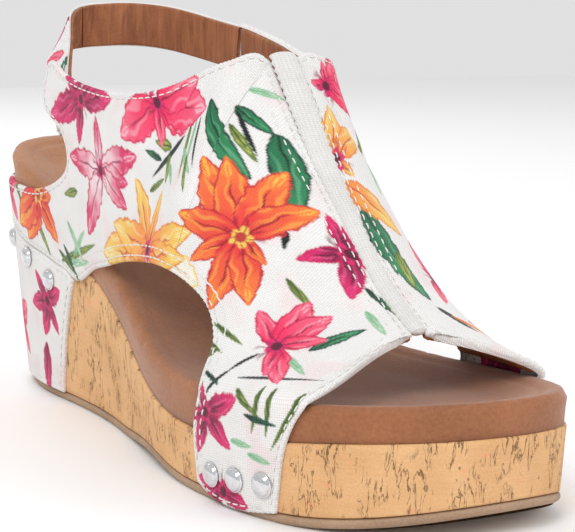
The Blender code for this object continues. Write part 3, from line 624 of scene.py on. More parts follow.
def thread_row(points, out):
    """Points and faces of small stitches along a run of points; out is the cloth's direction at each."""
    length = np.concatenate([[0], np.cumsum(np.linalg.norm(np.diff(points, axis=0), axis=1))])
    starts = np.arange(0.6, length[-1] - STITCH, STITCH + STITCH_GAP)
    verts = []
    faces = []
    for start in starts:
        at = start + STITCH * np.array((0.0, 0.12, 0.5, 0.88, 1.0))
        middle = np.stack([np.interp(at, length, points[:, k]) for k in range(3)], axis=1)
        up = np.stack([np.interp(at, length, out[:, k]) for k in range(3)], axis=1)
        up /= np.linalg.norm(up, axis=1)[:, None]
        run = np.gradient(middle, axis=0)
        run /= np.linalg.norm(run, axis=1)[:, None]
        across = np.cross(run, up)
        base = len(verts)
        for i, (size, sink) in enumerate(((0.4, -0.25), (0.9, 0.0), (1.0, 0.12), (0.9, 0.0), (0.4, -0.25))):
            for k in range(6):
                angle = math.pi * k / 3
                lift = up[i] * (math.sin(angle) * THREAD * size + sink)
                verts.append(middle[i] + across[i] * math.cos(angle) * THREAD * size + lift)
        for i in range(4):
            for k in range(6):
                j = (k + 1) % 6
                faces.append((base + 6 * i + k, base + 6 * i + j, base + 6 * i + 6 + j, base + 6 * i + 6 + k))
    return verts, faces


def stitching(name, runs, finish, body="sandal"):
    """One object of all the stitches along several runs of (points, outward directions)."""
    verts = []
    faces = []
    for points, out in runs:
        more, joined = thread_row(points, out)
        faces += [tuple(i + len(verts) for i in f) for f in joined]
        verts += more
    obj = make_piece(name, np.array(verts), faces, finish, body)
    return obj


def row_on(side, outline, inset, lift, keep):
    """A run of stitches parallel to the part of the outline whose points pass the test keep(y, h)."""
    ring = np.array(soften(outline, 0.8))
    ahead = np.roll(ring, -3, axis=0) - np.roll(ring, 3, axis=0)
    into = np.stack([-ahead[:, 1], ahead[:, 0]], axis=1)
    if np.sum(ring[:, 0] * np.roll(ring[:, 1], -1) - ring[:, 1] * np.roll(ring[:, 0], -1)) < 0:
        into = -into
    into /= np.hypot(*into.T)[:, None]
    line = ring + into * inset
    y = edge_at(side, ring[:, 0])[0][:, 1]
    wanted = np.array([keep(*p) for p in zip(y, ring[:, 1])])
    clear = distance_to(line, [tuple(p) for p in ring]) > inset * 0.9
    wanted &= clear
    shift = int(np.argmin(wanted)) if not wanted.all() else 0
    line = np.roll(line, -shift, axis=0)
    wanted = np.roll(wanted, -shift)
    runs = []
    current = []
    for point, good in zip(line, wanted):
        if good:
            current.append(point)
        elif current:
            runs.append(np.array(current))
            current = []
    if current:
        runs.append(np.array(current))
    made = []
    for run in runs:
        if len(run) < 6:
            continue
        low = offset_surface(side, run[:, 0], run[:, 1], lift)
        high = offset_surface(side, run[:, 0], run[:, 1], lift + 1.0)
        made.append((low, high - low))
    return made


# ---- the print ----------------------------------------------------------------------------------

GROUND = srgb(244, 242, 240)
# Each look: colour at the base, at the tip, the outline, the vein and the streaks.
LOOKS = {
    "magenta": ((150, 0, 75), (226, 30, 110), (205, 0, 90), (95, 0, 45), (255, 110, 160)),
    "lily": ((255, 40, 100), (255, 95, 130), (215, 10, 80), (150, 0, 60), (255, 185, 200)),
    "outlined": ((255, 228, 234), (228, 40, 105), (208, 8, 84), (150, 10, 75), (255, 190, 205)),
    "orange": ((240, 60, 60), (255, 120, 60), (200, 40, 55), (150, 0, 40), (255, 190, 80)),
    "yellow": ((255, 150, 60), (255, 208, 95), (235, 130, 50), (200, 60, 50), (255, 236, 170)),
    "rimmed": ((252, 248, 240), (255, 246, 225), (250, 205, 80), (225, 160, 70), (255, 250, 240)),
    "green": ((30, 115, 75), (45, 140, 90), (20, 60, 50), (15, 35, 32), (120, 195, 150)),
    "olive": ((140, 160, 60), (175, 185, 85), (90, 120, 50), (60, 80, 40), (215, 220, 140)),
    "mint": ((170, 212, 172), (200, 228, 196), (150, 200, 160), (120, 180, 140), (225, 240, 220)),
    "dark": ((20, 40, 38), (30, 75, 55), (12, 22, 24), (10, 15, 18), (70, 120, 90)),
    "rose": ((240, 120, 150), (252, 170, 182), (232, 90, 130), (215, 60, 110), (255, 210, 215)),
}
LOOKS = {word: [srgb(*c) for c in colours] for word, colours in LOOKS.items()}
# Blooms as (look, middle, tips, breadth of a petal against its length); leaves as (look, base, tip, width).
BLOOMS = {
    LATERAL: (
        ("outlined", (118, 30), ((112, 45), (94, 23), (139, 46), (137, 36), (109, 4), (139, 29)), 0.38),
        ("yellow", (162, 28), ((140, 40), (160, 46), (190, 43), (190, 34), (123, 6), (131, 20)), 0.34),
        ("lily", (144, 66), ((130, 47), (150, 55), (163, 66), (171, 77), (160, 82)), 0.5),
        ("magenta", (101, 45), ((122, 55), (78, 29), (89, 32), (101, 30), (88, 47), (95, 54),
                                (110, 57)), 0.36),
        ("orange", (204, 46), ((182, 65), (190, 68), (204, 72), (215, 66), (181, 46), (192, 34), (205, 22),
                               (216, 27), (214, 41)), 0.42),
        ("orange", (70, -2), ((60, -22), (84, -12), (52, -20), (80, 2)), 0.5),
        ("lily", (231, 18), ((219, 27), (229, 37), (236, 36), (241, 27), (241, 5), (235, 7)), 0.44),
        ("magenta", (214, -6), ((229, 0), (226, -15), (209, -19), (205, -9), (212, 2)), 0.42),
        ("magenta", (222, -28), ((209, -26), (230, -22), (233, -31), (212, -33)), 0.5),
        ("magenta", (226, 59), ((216, 66), (219, 47), (235, 45), (233, 60)), 0.38),
        ("magenta", (73, -38), ((64, -31), (81, -46), (60, -45), (83, -29), (70, -52)), 0.45),
        ("lily", (42, -60), ((36, -50), (52, -49), (34, -68), (52, -68)), 0.6),
        ("rose", (4, -52), ((-8, -44), (16, -42), (-6, -62), (14, -64), (4, -36)), 0.55),
        ("magenta", (-44, -40), ((-56, -34), (-34, -32), (-52, -52), (-36, -54)), 0.5),
        ("orange", (12, -18), ((2, -13), (24, -14), (4, -24), (22, -24)), 0.5),
        ("lily", (40, -12), ((30, -6), (50, -4), (32, -20), (50, -20)), 0.5),
    ),
    MEDIAL: (
        ("lily", (180, 86), ((157, 82), (167, 69), (173, 92), (186, 91)), 0.5),
        ("yellow", (203, 74), ((195, 89), (188, 83), (184, 70), (205, 66), (212, 82)), 0.45),
        ("magenta", (128, 40), ((150, 52), (106, 30), (116, 22), (130, 22), (120, 58), (142, 60)), 0.42),
        ("outlined", (162, 40), ((152, 60), (140, 34), (178, 56), (180, 36), (150, 22)), 0.4),
        ("orange", (92, 10), ((78, 22), (106, 24), (80, -6), (108, 2)), 0.5),
        ("lily", (150, 84), ((138, 70), (160, 72), (140, 94), (164, 96)), 0.5),
        ("orange", (60, -8), ((50, -18), (74, -16), (52, 2), (70, 4)), 0.5),
        ("magenta", (226, 4), ((214, -8), (238, -12), (212, 14), (232, 20)), 0.5),
        ("lily", (218, 30), ((206, 22), (230, 28), (206, 40)), 0.5),
        ("orange", (240, -14), ((232, -6), (248, -8), (236, -24)), 0.55),
        ("lily", (30, -18), ((20, -12), (42, -12), (22, -24)), 0.5),
    ),
}
LEAVES = {
    LATERAL: (
        ("green", (171, 80), (199, 64), 7.5), ("green", (184, 84), (197, 81), 4.5),
        ("green", (197, 82), (213, 60), 8.5), ("dark", (213, 54), (215, 48), 2.0),
        ("dark", (163, 65), (149, 45), 2.2), ("olive", (156, 58), (146, 55), 3.5),
        ("olive", (156, 56), (160, 48), 3.0), ("olive", (164, 71), (172, 54), 2.6),
        ("mint", (168, 72), (176, 56), 2.4), ("dark", (170, 74), (180, 60), 1.6),
        ("dark", (186, 83), (197, 72), 1.6), ("mint", (185, 91), (193, 94), 2.6),
        ("olive", (150, 41), (158, 49), 2.4), ("rimmed", (182, 32), (198, 28), 9.0),
        ("olive", (86, -17), (115, 4), 2.6), ("mint", (90, -16), (109, -5), 2.6),
        ("olive", (84, -14), (97, -16), 2.2), ("mint", (96, -10), (106, 4), 2.2),
        ("dark", (228, 14), (221, 6), 1.2), ("dark", (222, 7), (213, -2), 1.2),
        ("green", (240, 20), (245, 37), 4.0), ("dark", (226, 5), (253, 9), 1.1),
        ("olive", (242, 4), (240, -10), 1.8), ("olive", (238, 4), (235, -9), 1.8),
        ("mint", (226, -12), (235, -13), 2.2), ("mint", (233, -15), (242, -17), 2.2),
        ("olive", (252, 3), (242, -13), 1.8), ("olive", (208, 19), (221, 15), 1.8),
        ("green", (212, 5), (220, 2), 1.6), ("olive", (206, 14), (216, 11), 1.6),
        ("green", (234, 52), (246, 49), 2.4), ("olive", (240, 52), (253, 46), 2.4),
        ("magenta", (71, -54), (70, -74), 6.0), ("olive", (60, -14), (44, -2), 2.4),
        ("olive", (100, 14), (90, 8), 3.0), ("green", (138, 16), (126, 10), 2.6),
        ("olive", (176, 24), (168, 16), 2.6), ("mint", (112, 62), (128, 64), 2.2),
        ("olive", (186, 78), (198, 70), 3.0), ("mint", (166, 62), (180, 58), 3.0),
        ("olive", (150, 64), (140, 58), 3.0), ("green", (152, 52), (142, 50), 2.4),
        ("mint", (158, 54), (166, 50), 2.4), ("olive", (172, 62), (180, 52), 2.6),
        ("olive", (64, -8), (78, -20), 3.0), ("mint", (92, 0), (104, -8), 3.0),
        ("green", (88, -10), (100, -18), 2.4), ("olive", (220, 40), (232, 34), 2.4),
        ("mint", (236, 16), (246, 10), 2.4), ("olive", (228, 2), (238, -4), 2.2),
        ("green", (232, -4), (244, -6), 2.0), ("olive", (206, -2), (203, -14), 2.2),
        ("mint", (240, 44), (250, 38), 2.6), ("olive", (214, 12), (206, 6), 2.2),
        ("green", (24, -38), (30, -60), 3.0), ("olive", (-20, -36), (-26, -58), 3.0),
        ("green", (20, -8), (34, -14), 2.0),
    ),
    MEDIAL: (
        ("green", (213, 62), (234, 34), 8.0), ("olive", (221, 47), (232, 39), 4.0),
        ("dark", (236, 33), (240, 19), 3.0), ("yellow", (209, 69), (211, 44), 9.0),
        ("yellow", (237, 28), (235, 2), 3.0), ("green", (140, 78), (126, 66), 5.0),
        ("olive", (110, 44), (98, 36), 3.0), ("dark", (176, 66), (168, 54), 1.8),
        ("olive", (176, 68), (186, 58), 2.6), ("mint", (190, 62), (200, 54), 3.0),
        ("olive", (118, 12), (100, -6), 2.6), ("green", (86, 24), (96, 34), 3.4),
        ("green", (212, 24), (206, 8), 3.0), ("olive", (228, -18), (216, -24), 2.4),
    ),
}


def lay(tint, where, amount, colour):
    tint[where] = tint[where] * (1 - amount[:, None]) + colour * amount[:, None]


def petal(tint, places, ragged, base, tip, width, look):
    """Brushes one petal or leaf from its base to its tip over the plan."""
    base = np.array(base, float)
    axis = np.array(tip, float) - base
    length = np.hypot(*axis)
    axis /= length
    rel = places - base
    t = rel @ axis / length
    u = rel @ np.array((-axis[1], axis[0])) / (width / 2)
    near = np.where((t > -0.1) & (t < 1.1) & (np.abs(u) < 1.4))[0]
    t = t[near]
    u = u[near]
    rough = ragged[near]
    shape = np.sin(math.pi * np.clip(t, 0, 1) ** 0.8) ** 0.7
    margin = (shape - np.abs(u) + 0.22 * rough[:, 0] * shape) * width / 2
    margin = np.minimum(margin, np.minimum(t + 0.02, 1 - t + 0.03 * rough[:, 0]) * length)
    core, end, outline, vein, streak = look
    along = smooth_step(t + 0.25 * rough[:, 1], 0.1, 0.85)[:, None]
    colour = core * (1 - along) + end * along
    lay(tint, near, smooth_step(margin, -0.15, 0.25), colour)
    streaks = smooth_step(np.sin(u * 8 + rough[:, 1] * 3), 0.45, 0.95) * smooth_step(t, 0.1, 0.5)
    lay(tint, near, streaks * smooth_step(margin, 0.2, 0.8) * 0.5, streak)
    lay(tint, near, smooth_step(margin, -0.1, 0.2) * (1 - smooth_step(margin, 0.45, 0.8)), outline)
    aside = np.abs(u + 0.2 * rough[:, 1]) * width / 2
    middle = (1 - smooth_step(aside, 0.12, 0.4)) * smooth_step(0.75 - t, 0, 0.2)
    lay(tint, near, middle * smooth_step(margin, 0.1, 0.4), vein)


def bloom(tint, places, ragged, look, middle, tips, breadth):
    """A flower: petals, and a core with rays."""
    colours = LOOKS[look]
    for tip in tips:
        length = math.dist(middle, tip)
        wide = max(4.0, length * breadth)
        petal(tint, places, ragged, middle, tip, wide, colours)
        spot = (middle[0] * 0.3 + tip[0] * 0.7, middle[1] * 0.3 + tip[1] * 0.7)
        petal(tint, places, ragged, spot, tip, wide * 0.3, [colours[k] for k in (4, 4, 1, 1, 4)])
    rel = places - np.array(middle, float)
    reach = np.hypot(*rel.T)
    near = np.where(reach < 9)[0]
    spin = np.arctan2(rel[near, 1], rel[near, 0])
    size = 3.0 + 0.7 * np.sin(5 * spin) + 1.2 * ragged[near, 0]
    core = smooth_step(size - reach[near], -0.3, 0.4)
    heart = LOOKS["yellow"] if look == "orange" else LOOKS["magenta"]
    lay(tint, near, core, heart[1])
    lay(tint, near, smooth_step(1.7 - reach[near], -0.2, 0.3), heart[3])
    rays = smooth_step(np.sin(9 * spin + 4 * ragged[near, 1]), 0.55, 0.9)
    rays = rays * smooth_step(7.5 - reach[near], 0, 3)
    lay(tint, near, rays * 0.7 * smooth_step(reach[near], 1.0, 2.0), colours[3])


def printed(side):
    """The painting of one side's cloth, as a function of plan points."""
    def paint(places):
        tint = np.tile(GROUND, (len(places), 1)).astype(float)
        ragged = np.stack([noise_at(places, 2.4, 3.0), noise_at(places, 5.0, 9.0)], axis=1)
        haze = smooth_step(noise_at(places, 11.0, 17.0), 0.15, 0.5)
        lay(tint, np.arange(len(places)), haze * 0.35, srgb(250, 214, 218))
        for look, base, tip, width in LEAVES[side]:
            petal(tint, places, ragged, base, tip, width, LOOKS[look])
        for look, middle, tips, breadth in BLOOMS[side]:
            bloom(tint, places, ragged, look, middle, tips, breadth)
        return tint
    return paint


def strap_print(places):
    """The strap's cloth shows the print only as torn bits of petal and stem."""
    tint = np.tile(GROUND, (len(places), 1)).astype(float)
    ragged = np.stack([noise_at(places, 2.4, 3.0), noise_at(places, 5.0, 9.0)], axis=1)
    for number, travel in enumerate(range(104, 262, 13)):
        look = ("magenta", "lily", "green", "orange")[number % 4]
        lean = 9 if number % 2 else -9
        petal(tint, places, ragged, (travel, -lean), (travel + 9, lean * 0.6), 6.0, LOOKS[look])
    return tint


# ---- materials ----------------------------------------------------------------------------------


class Nodes:
    """Short words for building one material's node tree."""

    def __init__(self, name, roughness):
        self.material = bpy.data.materials.new(name)
        self.material.use_nodes = True
        self.tree = self.material.node_tree
        self.shader = self.tree.nodes["Principled BSDF"]
        self.shader.inputs["Roughness"].default_value = roughness

    def add(self, kind, **values):
        node = self.tree.nodes.new(kind)
        for key, value in values.items():
            setattr(node, key, value)
        return node

    def join(self, source, target):
        self.tree.links.new(source, target)

    def uv(self):
        return self.add("ShaderNodeTexCoord").outputs["UV"]

    def place(self):
        return self.add("ShaderNodeTexCoord").outputs["Object"]

    def mapped(self, source, scale=(1, 1, 1), turn=0.0):
        node = self.add("ShaderNodeMapping")
        node.inputs["Scale"].default_value = scale
        node.inputs["Rotation"].default_value = (0, 0, math.radians(turn))
        self.join(source, node.inputs["Vector"])
        return node.outputs[0]

    def noise(self, source, scale, detail=4.0, rough=0.5, distortion=0.0):
        node = self.add("ShaderNodeTexNoise")
        node.inputs["Scale"].default_value = scale
        node.inputs["Detail"].default_value = detail
        node.inputs["Roughness"].default_value = rough
        node.inputs["Distortion"].default_value = distortion
        self.join(source, node.inputs["Vector"])
        return node.outputs[0]

    def cells(self, source, scale):
        node = self.add("ShaderNodeTexVoronoi")
        node.inputs["Scale"].default_value = scale
        self.join(source, node.inputs["Vector"])
        return node.outputs["Distance"]

    def wave(self, source, scale, direction):
        node = self.add("ShaderNodeTexWave", bands_direction=direction)
        node.inputs["Scale"].default_value = scale
        node.inputs["Distortion"].default_value = 0.6
        node.inputs["Detail Scale"].default_value = 2.0
        self.join(source, node.inputs["Vector"])
        return node.outputs["Fac"]

    def ramp(self, source, *stops):
        node = self.add("ShaderNodeValToRGB")
        ends = node.color_ramp.elements
        while len(ends) < len(stops):
            ends.new(0.5)
        for end, (at, colour) in zip(ends, stops):
            end.position = at
            end.color = (*colour, 1.0) if hasattr(colour, "__len__") else (colour, colour, colour, 1.0)
        self.join(source, node.inputs["Fac"])
        return node.outputs["Color"]

    def sums(self, kind, a, b):
        node = self.add("ShaderNodeMath", operation=kind)
        for socket, value in zip(node.inputs, (a, b)):
            if isinstance(value, (int, float)):
                socket.default_value = value
            else:
                self.join(value, socket)
        return node.outputs[0]

    def mix(self, amount, a, b, kind="MIX"):
        node = self.add("ShaderNodeMix", data_type="RGBA", blend_type=kind)
        for socket, value in ((node.inputs[0], amount), (node.inputs[6], a), (node.inputs[7], b)):
            if isinstance(value, (int, float)):
                socket.default_value = value
            elif hasattr(value, "__len__"):
                socket.default_value = (*value, 1.0)
            else:
                self.join(value, socket)
        return node.outputs[2]

    def colour(self, source):
        self.join(source, self.shader.inputs["Base Color"])

    def bump(self, height, strength, depth):
        node = self.add("ShaderNodeBump")
        node.inputs["Strength"].default_value = strength
        node.inputs["Distance"].default_value = depth * MM
        self.join(height, node.inputs["Height"])
        self.join(node.outputs[0], self.shader.inputs["Normal"])


def weave_of(made):
    """A plain weave's threads, 0.7 mm apart both ways on the cloth's own plan."""
    uv = made.uv()
    across = made.wave(uv, 0.45, "X")
    along = made.wave(uv, 0.45, "Y")
    return made.sums("MULTIPLY", across, along)


def canvas_material(name, ground=None):
    made = Nodes(name, 0.88)
    weave = weave_of(made)
    if ground is None:
        source = made.add("ShaderNodeAttribute", attribute_name="print").outputs["Color"]
    else:
        source = made.ramp(made.noise(made.place(), 300.0), (0.3, ground * 0.93), (0.7, ground))
    # Painted shade: the print's colour is darkened to 0.8 in the gaps between the weave's threads.
    shade = made.ramp(weave, (0.0, 0.80), (0.55, 1.0))
    soft = made.ramp(made.noise(made.place(), 90.0), (0.3, 0.93), (0.7, 1.0))
    made.colour(made.mix(1.0, made.mix(1.0, source, shade, "MULTIPLY"), soft, "MULTIPLY"))
    made.shader.inputs["Sheen Weight"].default_value = 0.15
    made.bump(weave, 0.55, 0.25)
    return made.material


def thread_material():
    made = Nodes("thread", 0.7)
    twist = made.noise(made.place(), 2500.0)
    made.colour(made.ramp(twist, (0.3, srgb(205, 203, 199)), (0.7, srgb(240, 238, 234))))
    made.bump(twist, 0.4, 0.1)
    return made.material


def lining_material():
    made = Nodes("lining_leather", 0.6)
    place = made.place()
    creases = made.noise(made.mapped(place, (1.0, 1.0, 0.12)), 520.0, 5.0, 0.62, 0.6)
    patches = made.noise(place, 60.0)
    grain = made.cells(place, 1400.0)
    base = made.ramp(
        creases, (0.32, srgb(112, 62, 34)), (0.55, srgb(160, 98, 60)), (0.75, srgb(186, 124, 82)))
    made.colour(made.mix(0.35, base, made.ramp(patches, (0.3, srgb(138, 80, 46)), (0.7, srgb(182, 118, 76)))))
    made.bump(made.sums("ADD", creases, made.sums("MULTIPLY", grain, 0.25)), 0.7, 0.5)
    return made.material


def footbed_material():
    made = Nodes("nubuck", 0.78)
    place = made.place()
    nap = made.noise(place, 900.0, 6.0, 0.65)
    cloud = made.noise(place, 45.0, 3.0)
    along = made.add("ShaderNodeSeparateXYZ")
    made.join(place, along.inputs[0])
    heel = made.ramp(made.sums("ADD", made.sums("MULTIPLY", along.outputs["Y"], 3.0), 0.45),
                     (0.2, srgb(140, 82, 46)), (0.85, srgb(196, 138, 92)))
    mottled = made.mix(0.45, heel, made.ramp(cloud, (0.3, srgb(124, 70, 38)), (0.7, srgb(176, 114, 72))))
    made.colour(made.mix(0.25, mottled, made.ramp(nap, (0.3, srgb(104, 58, 32)), (0.7, srgb(190, 130, 88)))))
    made.shader.inputs["Sheen Weight"].default_value = 0.25
    made.bump(nap, 0.5, 0.25)
    return made.material


def cork_material():
    """Cork sheet: honey grain, thin slanting fissures in groups, dark pores and faint lengthwise lines."""
    made = Nodes("cork", 0.82)
    uv = made.uv()
    slanted = made.mapped(uv, (1.0, 0.2, 1.0), -10)
    crack = made.noise(slanted, 0.5, 5.0, 0.6, 0.5)
    near = made.sums("ABSOLUTE", made.sums("SUBTRACT", crack, 0.5), 0.0)
    group = made.noise(made.mapped(uv, (1.0, 0.6, 1.0)), 0.16, 2.0)
    line = made.ramp(near, (0.0, 0.95), (0.008, 0.7), (0.02, 0.0))
    crowd = made.ramp(group, (0.48, 0.0), (0.56, 0.9))
    fissures = made.sums("MULTIPLY", line, crowd)
    cells = made.cells(made.mapped(uv, (1.0, 0.6, 1.0)), 0.33)
    pores = made.ramp(cells, (0.06, 1.0), (0.14, 0.0))
    spread = made.ramp(made.noise(uv, 0.12), (0.5, 0.0), (0.62, 1.0))
    pores = made.sums("MULTIPLY", pores, spread)
    dark = made.sums("MAXIMUM", fissures, pores)
    grain = made.noise(uv, 1.6, 6.0, 0.7)
    cloud = made.noise(uv, 0.06, 3.0)
    streaks = made.noise(made.mapped(uv, (0.05, 1.6, 1.0)), 1.0, 3.0)
    base = made.ramp(
        grain, (0.25, srgb(196, 146, 96)), (0.5, srgb(222, 176, 126)), (0.8, srgb(238, 200, 154)))
    base = made.mix(0.45, base, made.ramp(cloud, (0.35, srgb(206, 152, 96)), (0.65, srgb(232, 184, 132))))
    base = made.mix(0.07, base, made.ramp(streaks, (0.42, srgb(178, 126, 80)), (0.56, srgb(234, 192, 146))))
    blush = made.ramp(made.noise(uv, 0.16, 2.0), (0.66, 0.0), (0.74, 0.6))
    base = made.mix(blush, base, srgb(238, 150, 110))
    made.colour(made.mix(dark, base, srgb(104, 66, 36)))
    made.bump(made.sums("SUBTRACT", made.sums("MULTIPLY", grain, 0.35), dark), 0.8, 0.45)
    return made.material


def rubber_material():
    made = Nodes("outsole_rubber", 0.62)
    place = made.place()
    fine = made.noise(place, 1500.0, 5.0)
    wide = made.noise(place, 60.0)
    base = made.ramp(wide, (0.3, srgb(150, 120, 94)), (0.7, srgb(178, 148, 120)))
    made.colour(made.mix(0.25, base, made.ramp(fine, (0.35, srgb(124, 98, 76)), (0.65, srgb(190, 160, 134)))))
    made.bump(fine, 0.35, 0.2)
    return made.material


def chrome_material():
    made = Nodes("chromed_steel", 0.09)
    made.shader.inputs["Metallic"].default_value = 1.0
    smear = made.noise(made.place(), 420.0, 3.0)
    made.colour(made.ramp(smear, (0.3, srgb(206, 207, 210)), (0.7, srgb(232, 232, 234))))
    made.bump(smear, 0.05, 0.05)
    return made.material


def hook_material():
    made = Nodes("hook_and_loop", 0.95)
    fuzz = made.noise(made.place(), 2200.0, 5.0, 0.7, 1.0)
    made.colour(made.ramp(fuzz, (0.3, srgb(158, 157, 155)), (0.7, srgb(222, 221, 218))))
    made.shader.inputs["Sheen Weight"].default_value = 0.5
    made.bump(fuzz, 0.9, 0.4)
    return made.material


def inner_material(name, dark, light, scale, roughness, metallic=0.0):
    """The grained look of a piece that stays inside the sole."""
    made = Nodes(name, roughness)
    made.shader.inputs["Metallic"].default_value = metallic
    grain = made.noise(made.place(), scale, 5.0)
    made.colour(made.ramp(grain, (0.3, dark), (0.7, light)))
    made.bump(grain, 0.3, 0.2)
    return made.material


# ---- the sole -----------------------------------------------------------------------------------


def make_cork(finish):
    """The cork's outer face with a lip turned in at both ends."""
    edge = EDGE
    arc = np.arange(len(edge) + 1) * EDGE_SPACING
    edge = np.concatenate([edge, edge[:1]])
    out = np.concatenate([EDGE_OUT, EDGE_OUT[:1]])
    foot = outsole_top_z(edge[:, 1]) + GAP
    top = cork_z(edge[:, 1])
    levels = [(0.0, 2.0), (0.0, 0.35), (0.006, 0.0)] + [(p, 0.0) for p in np.linspace(0.04, 0.975, 18)]
    levels += [(0.992, 0.25), (1.0, 0.8), (1.0, 2.0)]
    rings = []
    plans = []
    for part, inset in levels:
        z = foot + (top - foot) * part
        ring = edge - out * (draft_at(edge[:, 1], z) + inset)[:, None]
        rings.append(np.column_stack([ring, z]))
        plans.append(np.column_stack([arc, z]))
    count = len(edge)
    faces = [
        (r * count + i, r * count + i + 1, (r + 1) * count + i + 1, (r + 1) * count + i)
        for r in range(len(levels) - 1) for i in range(count - 1)
    ]
    obj = make_piece("cork_sheet", np.concatenate(rings), faces, finish, uv=np.concatenate(plans))
    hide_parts("cork_wrap")


# The outsole's side from below upwards: how far it lies inside the edge, and how high.
OUTSOLE_PROFILE = (
    (1.6, 0.0), (0.7, 0.12), (0.15, 0.6), (-0.25, 1.3), (-0.25, 2.1), (0.1, 2.7),
    (0.8, OUTSOLE_THICKNESS), (3.0, OUTSOLE_THICKNESS),
)
TREAD_PITCH = 7.0
TREAD_DEPTH = 0.7
COVER_ROLL = 2.6
PRESSED_LINE = (7.5, 0.7, 0.6)


def make_outsole(finish):
    """The outsole: rounded edges, a thin welt line above, and a cross-grooved tread below."""
    edge = EDGE
    y = edge[:, 1]
    thick = OUTSOLE_THICKNESS
    rings = []
    for inset, up in OUTSOLE_PROFILE:
        z = ground_z(y) + up
        rings.append(np.column_stack([edge - EDGE_OUT * (draft_at(y, z) + inset)[:, None], z]))
    count = len(edge)
    faces = []
    for r in range(len(OUTSOLE_PROFILE) - 1):
        for i in range(count):
            j = (i + 1) % count
            faces.append((r * count + i, r * count + j, (r + 1) * count + j, (r + 1) * count + i))
    points = np.concatenate(rings)
    for ring, lift in ((rings[0], 1), (rings[-1], -1)):
        outline = [tuple(p[:2]) for p in ring]
        flat, filled = fill(outline, 2.2)
        inside = distance_to(flat, outline)
        z = ground_z(flat[:, 1])
        if lift > 0:
            turn = flat[:, 1] * 2 * math.pi / TREAD_PITCH + 0.6 * np.sin(flat[:, 0] / 6)
            z = z + TREAD_DEPTH * np.clip(np.sin(turn) - 0.2, 0, 1) * smooth_step(inside, 3, 6)
            filled = [f[::-1] for f in filled]
        else:
            z = z + thick
        faces += [tuple(i + len(points) for i in f) for f in filled]
        points = np.concatenate([points, np.column_stack([flat, z])])
    obj = make_piece("outsole_tread", points, faces, finish)
    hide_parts("outsole")


def make_footbed(finish):
    """The leather cover: rolled edge, a line pressed inside it, and the dip under the foot."""
    outline = plan_outline(2.4)
    flat, faces = fill(outline, 2.6)
    flat, faces = halve(flat, faces)
    inside = distance_to(flat, outline)
    roll = COVER_ROLL
    line, breadth, depth = PRESSED_LINE
    part = np.clip(inside / roll, 0, 1)
    z = footbed_top_z(*flat.T) - roll * (1 - np.sqrt(1 - (1 - part) ** 2))
    z -= depth * np.exp(-(((inside - line) / breadth) ** 2))
    z += 0.15 * noise_at(flat, 14.0) * smooth_step(inside, 3, 9)
    placed = drawn_in(flat, lambda x, y: rim_z(y), COVER_EDGE_INSET)
    top = np.column_stack([placed[:, :2], z])
    rim = rim_of(faces)
    edge = np.unique(rim)
    place = np.full(len(flat), -1)
    place[edge] = np.arange(len(edge))
    border = flat[edge]
    layers = [top]
    for share in (0.35, 0.7, 0.97):
        def level(x, y, share=share):
            return (rim_z(y) - roll) * (1 - share) + (cork_z(y) + 0.05) * share
        layers.append(drawn_in(border, level, COVER_EDGE_INSET))
    layers.append(drawn_in(border, lambda x, y: cork_z(y) + 0.05, COVER_EDGE_INSET + 1.2))
    made = [tuple(f) for f in faces]
    for a, b in rim:
        starts = [len(flat) + k * len(edge) for k in range(4)]
        rows = [(a, b)] + [(start + place[a], start + place[b]) for start in starts]
        for (p, q), (r, s) in zip(rows, rows[1:]):
            made.append((q, p, r, s))
    obj = make_piece("footbed_leather", np.concatenate(layers), made, finish)
    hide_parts("footbed_cover")


# ---- the upper ----------------------------------------------------------------------------------


def declare(node):
    """Hides the piece's imported solid."""
    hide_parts(node)


def make_uppers(canvas, thread, lining):
    for word, side in SIDES.items():
        outline = upper_outline(side)
        obj = cloth(f"{word}_canvas", side, outline, CANVAS, canvas, 2, printed(side), UPPER_ROWS)
        declare(f"{word}_upper")
        lift = CANVAS[1] - 0.05
        runs = row_on(side, outline, 1.7, lift, lambda y, h: True)
        runs += row_on(side, outline, 4.6, lift, lambda y, h: -60 < y < 58 and -22 < h < 29)
        runs += row_on(side, outline, 4.4, lift, lambda y, h: y < -40 and h > 12)
        stitching(f"{word}_stitching", runs, thread)
        inner = lining_outline(side)
        obj = cloth(f"{word}_lining_leather", side, inner, LINING[::-1], lining, 1, None, (), 0.35)
        declare(f"{word}_lining")


def wrap_outline():
    foot_y = (120, 105, 85)
    outline = list(reversed(edge_points(LATERAL, WRAP_FRONT))) + edge_points(LATERAL, WRAP_LINE)
    outline += [(0.0, WRAP_LINE_BACK)]
    medial = list(reversed(edge_points(MEDIAL, WRAP_LINE))) + edge_points(MEDIAL, WRAP_FRONT)
    outline += [(-s, h) for s, h in medial]
    outline += [(-float(station(MEDIAL, y)), wall_foot(y)) for y in reversed(foot_y)]
    outline += [(0.0, wall_foot(128))]
    outline += [(float(station(LATERAL, y)), wall_foot(y)) for y in foot_y]
    return outline


def make_heel_wrap(canvas, thread):
    outline = wrap_outline()
    obj = cloth("heel_wrap_canvas", LATERAL, outline, CANVAS, canvas, 2, printed(LATERAL), (1.7,))
    declare("heel_wrap")
    runs = row_on(LATERAL, outline, 1.7, CANVAS[1] - 0.05, lambda y, h: y < 76)
    stitching("heel_wrap_stitching", runs, thread)
    half = BACK_TAPE_HALF_WIDTH
    foot = WRAP_LINE_BACK + 1
    top = COUNTER_TOP_BACK - 0.5
    outline = [(-half, foot), (half, foot), (half, top), (-half, top)]
    layer = (CANVAS[1] + GAP, CANVAS[1] + GAP + BACK_TAPE_THICKNESS)
    obj = cloth("back_tape", LATERAL, outline, layer, canvas, 1, printed(LATERAL), (1.3,), 0.05)
    declare("back_seam_tape")


PIPING_END = 1.6
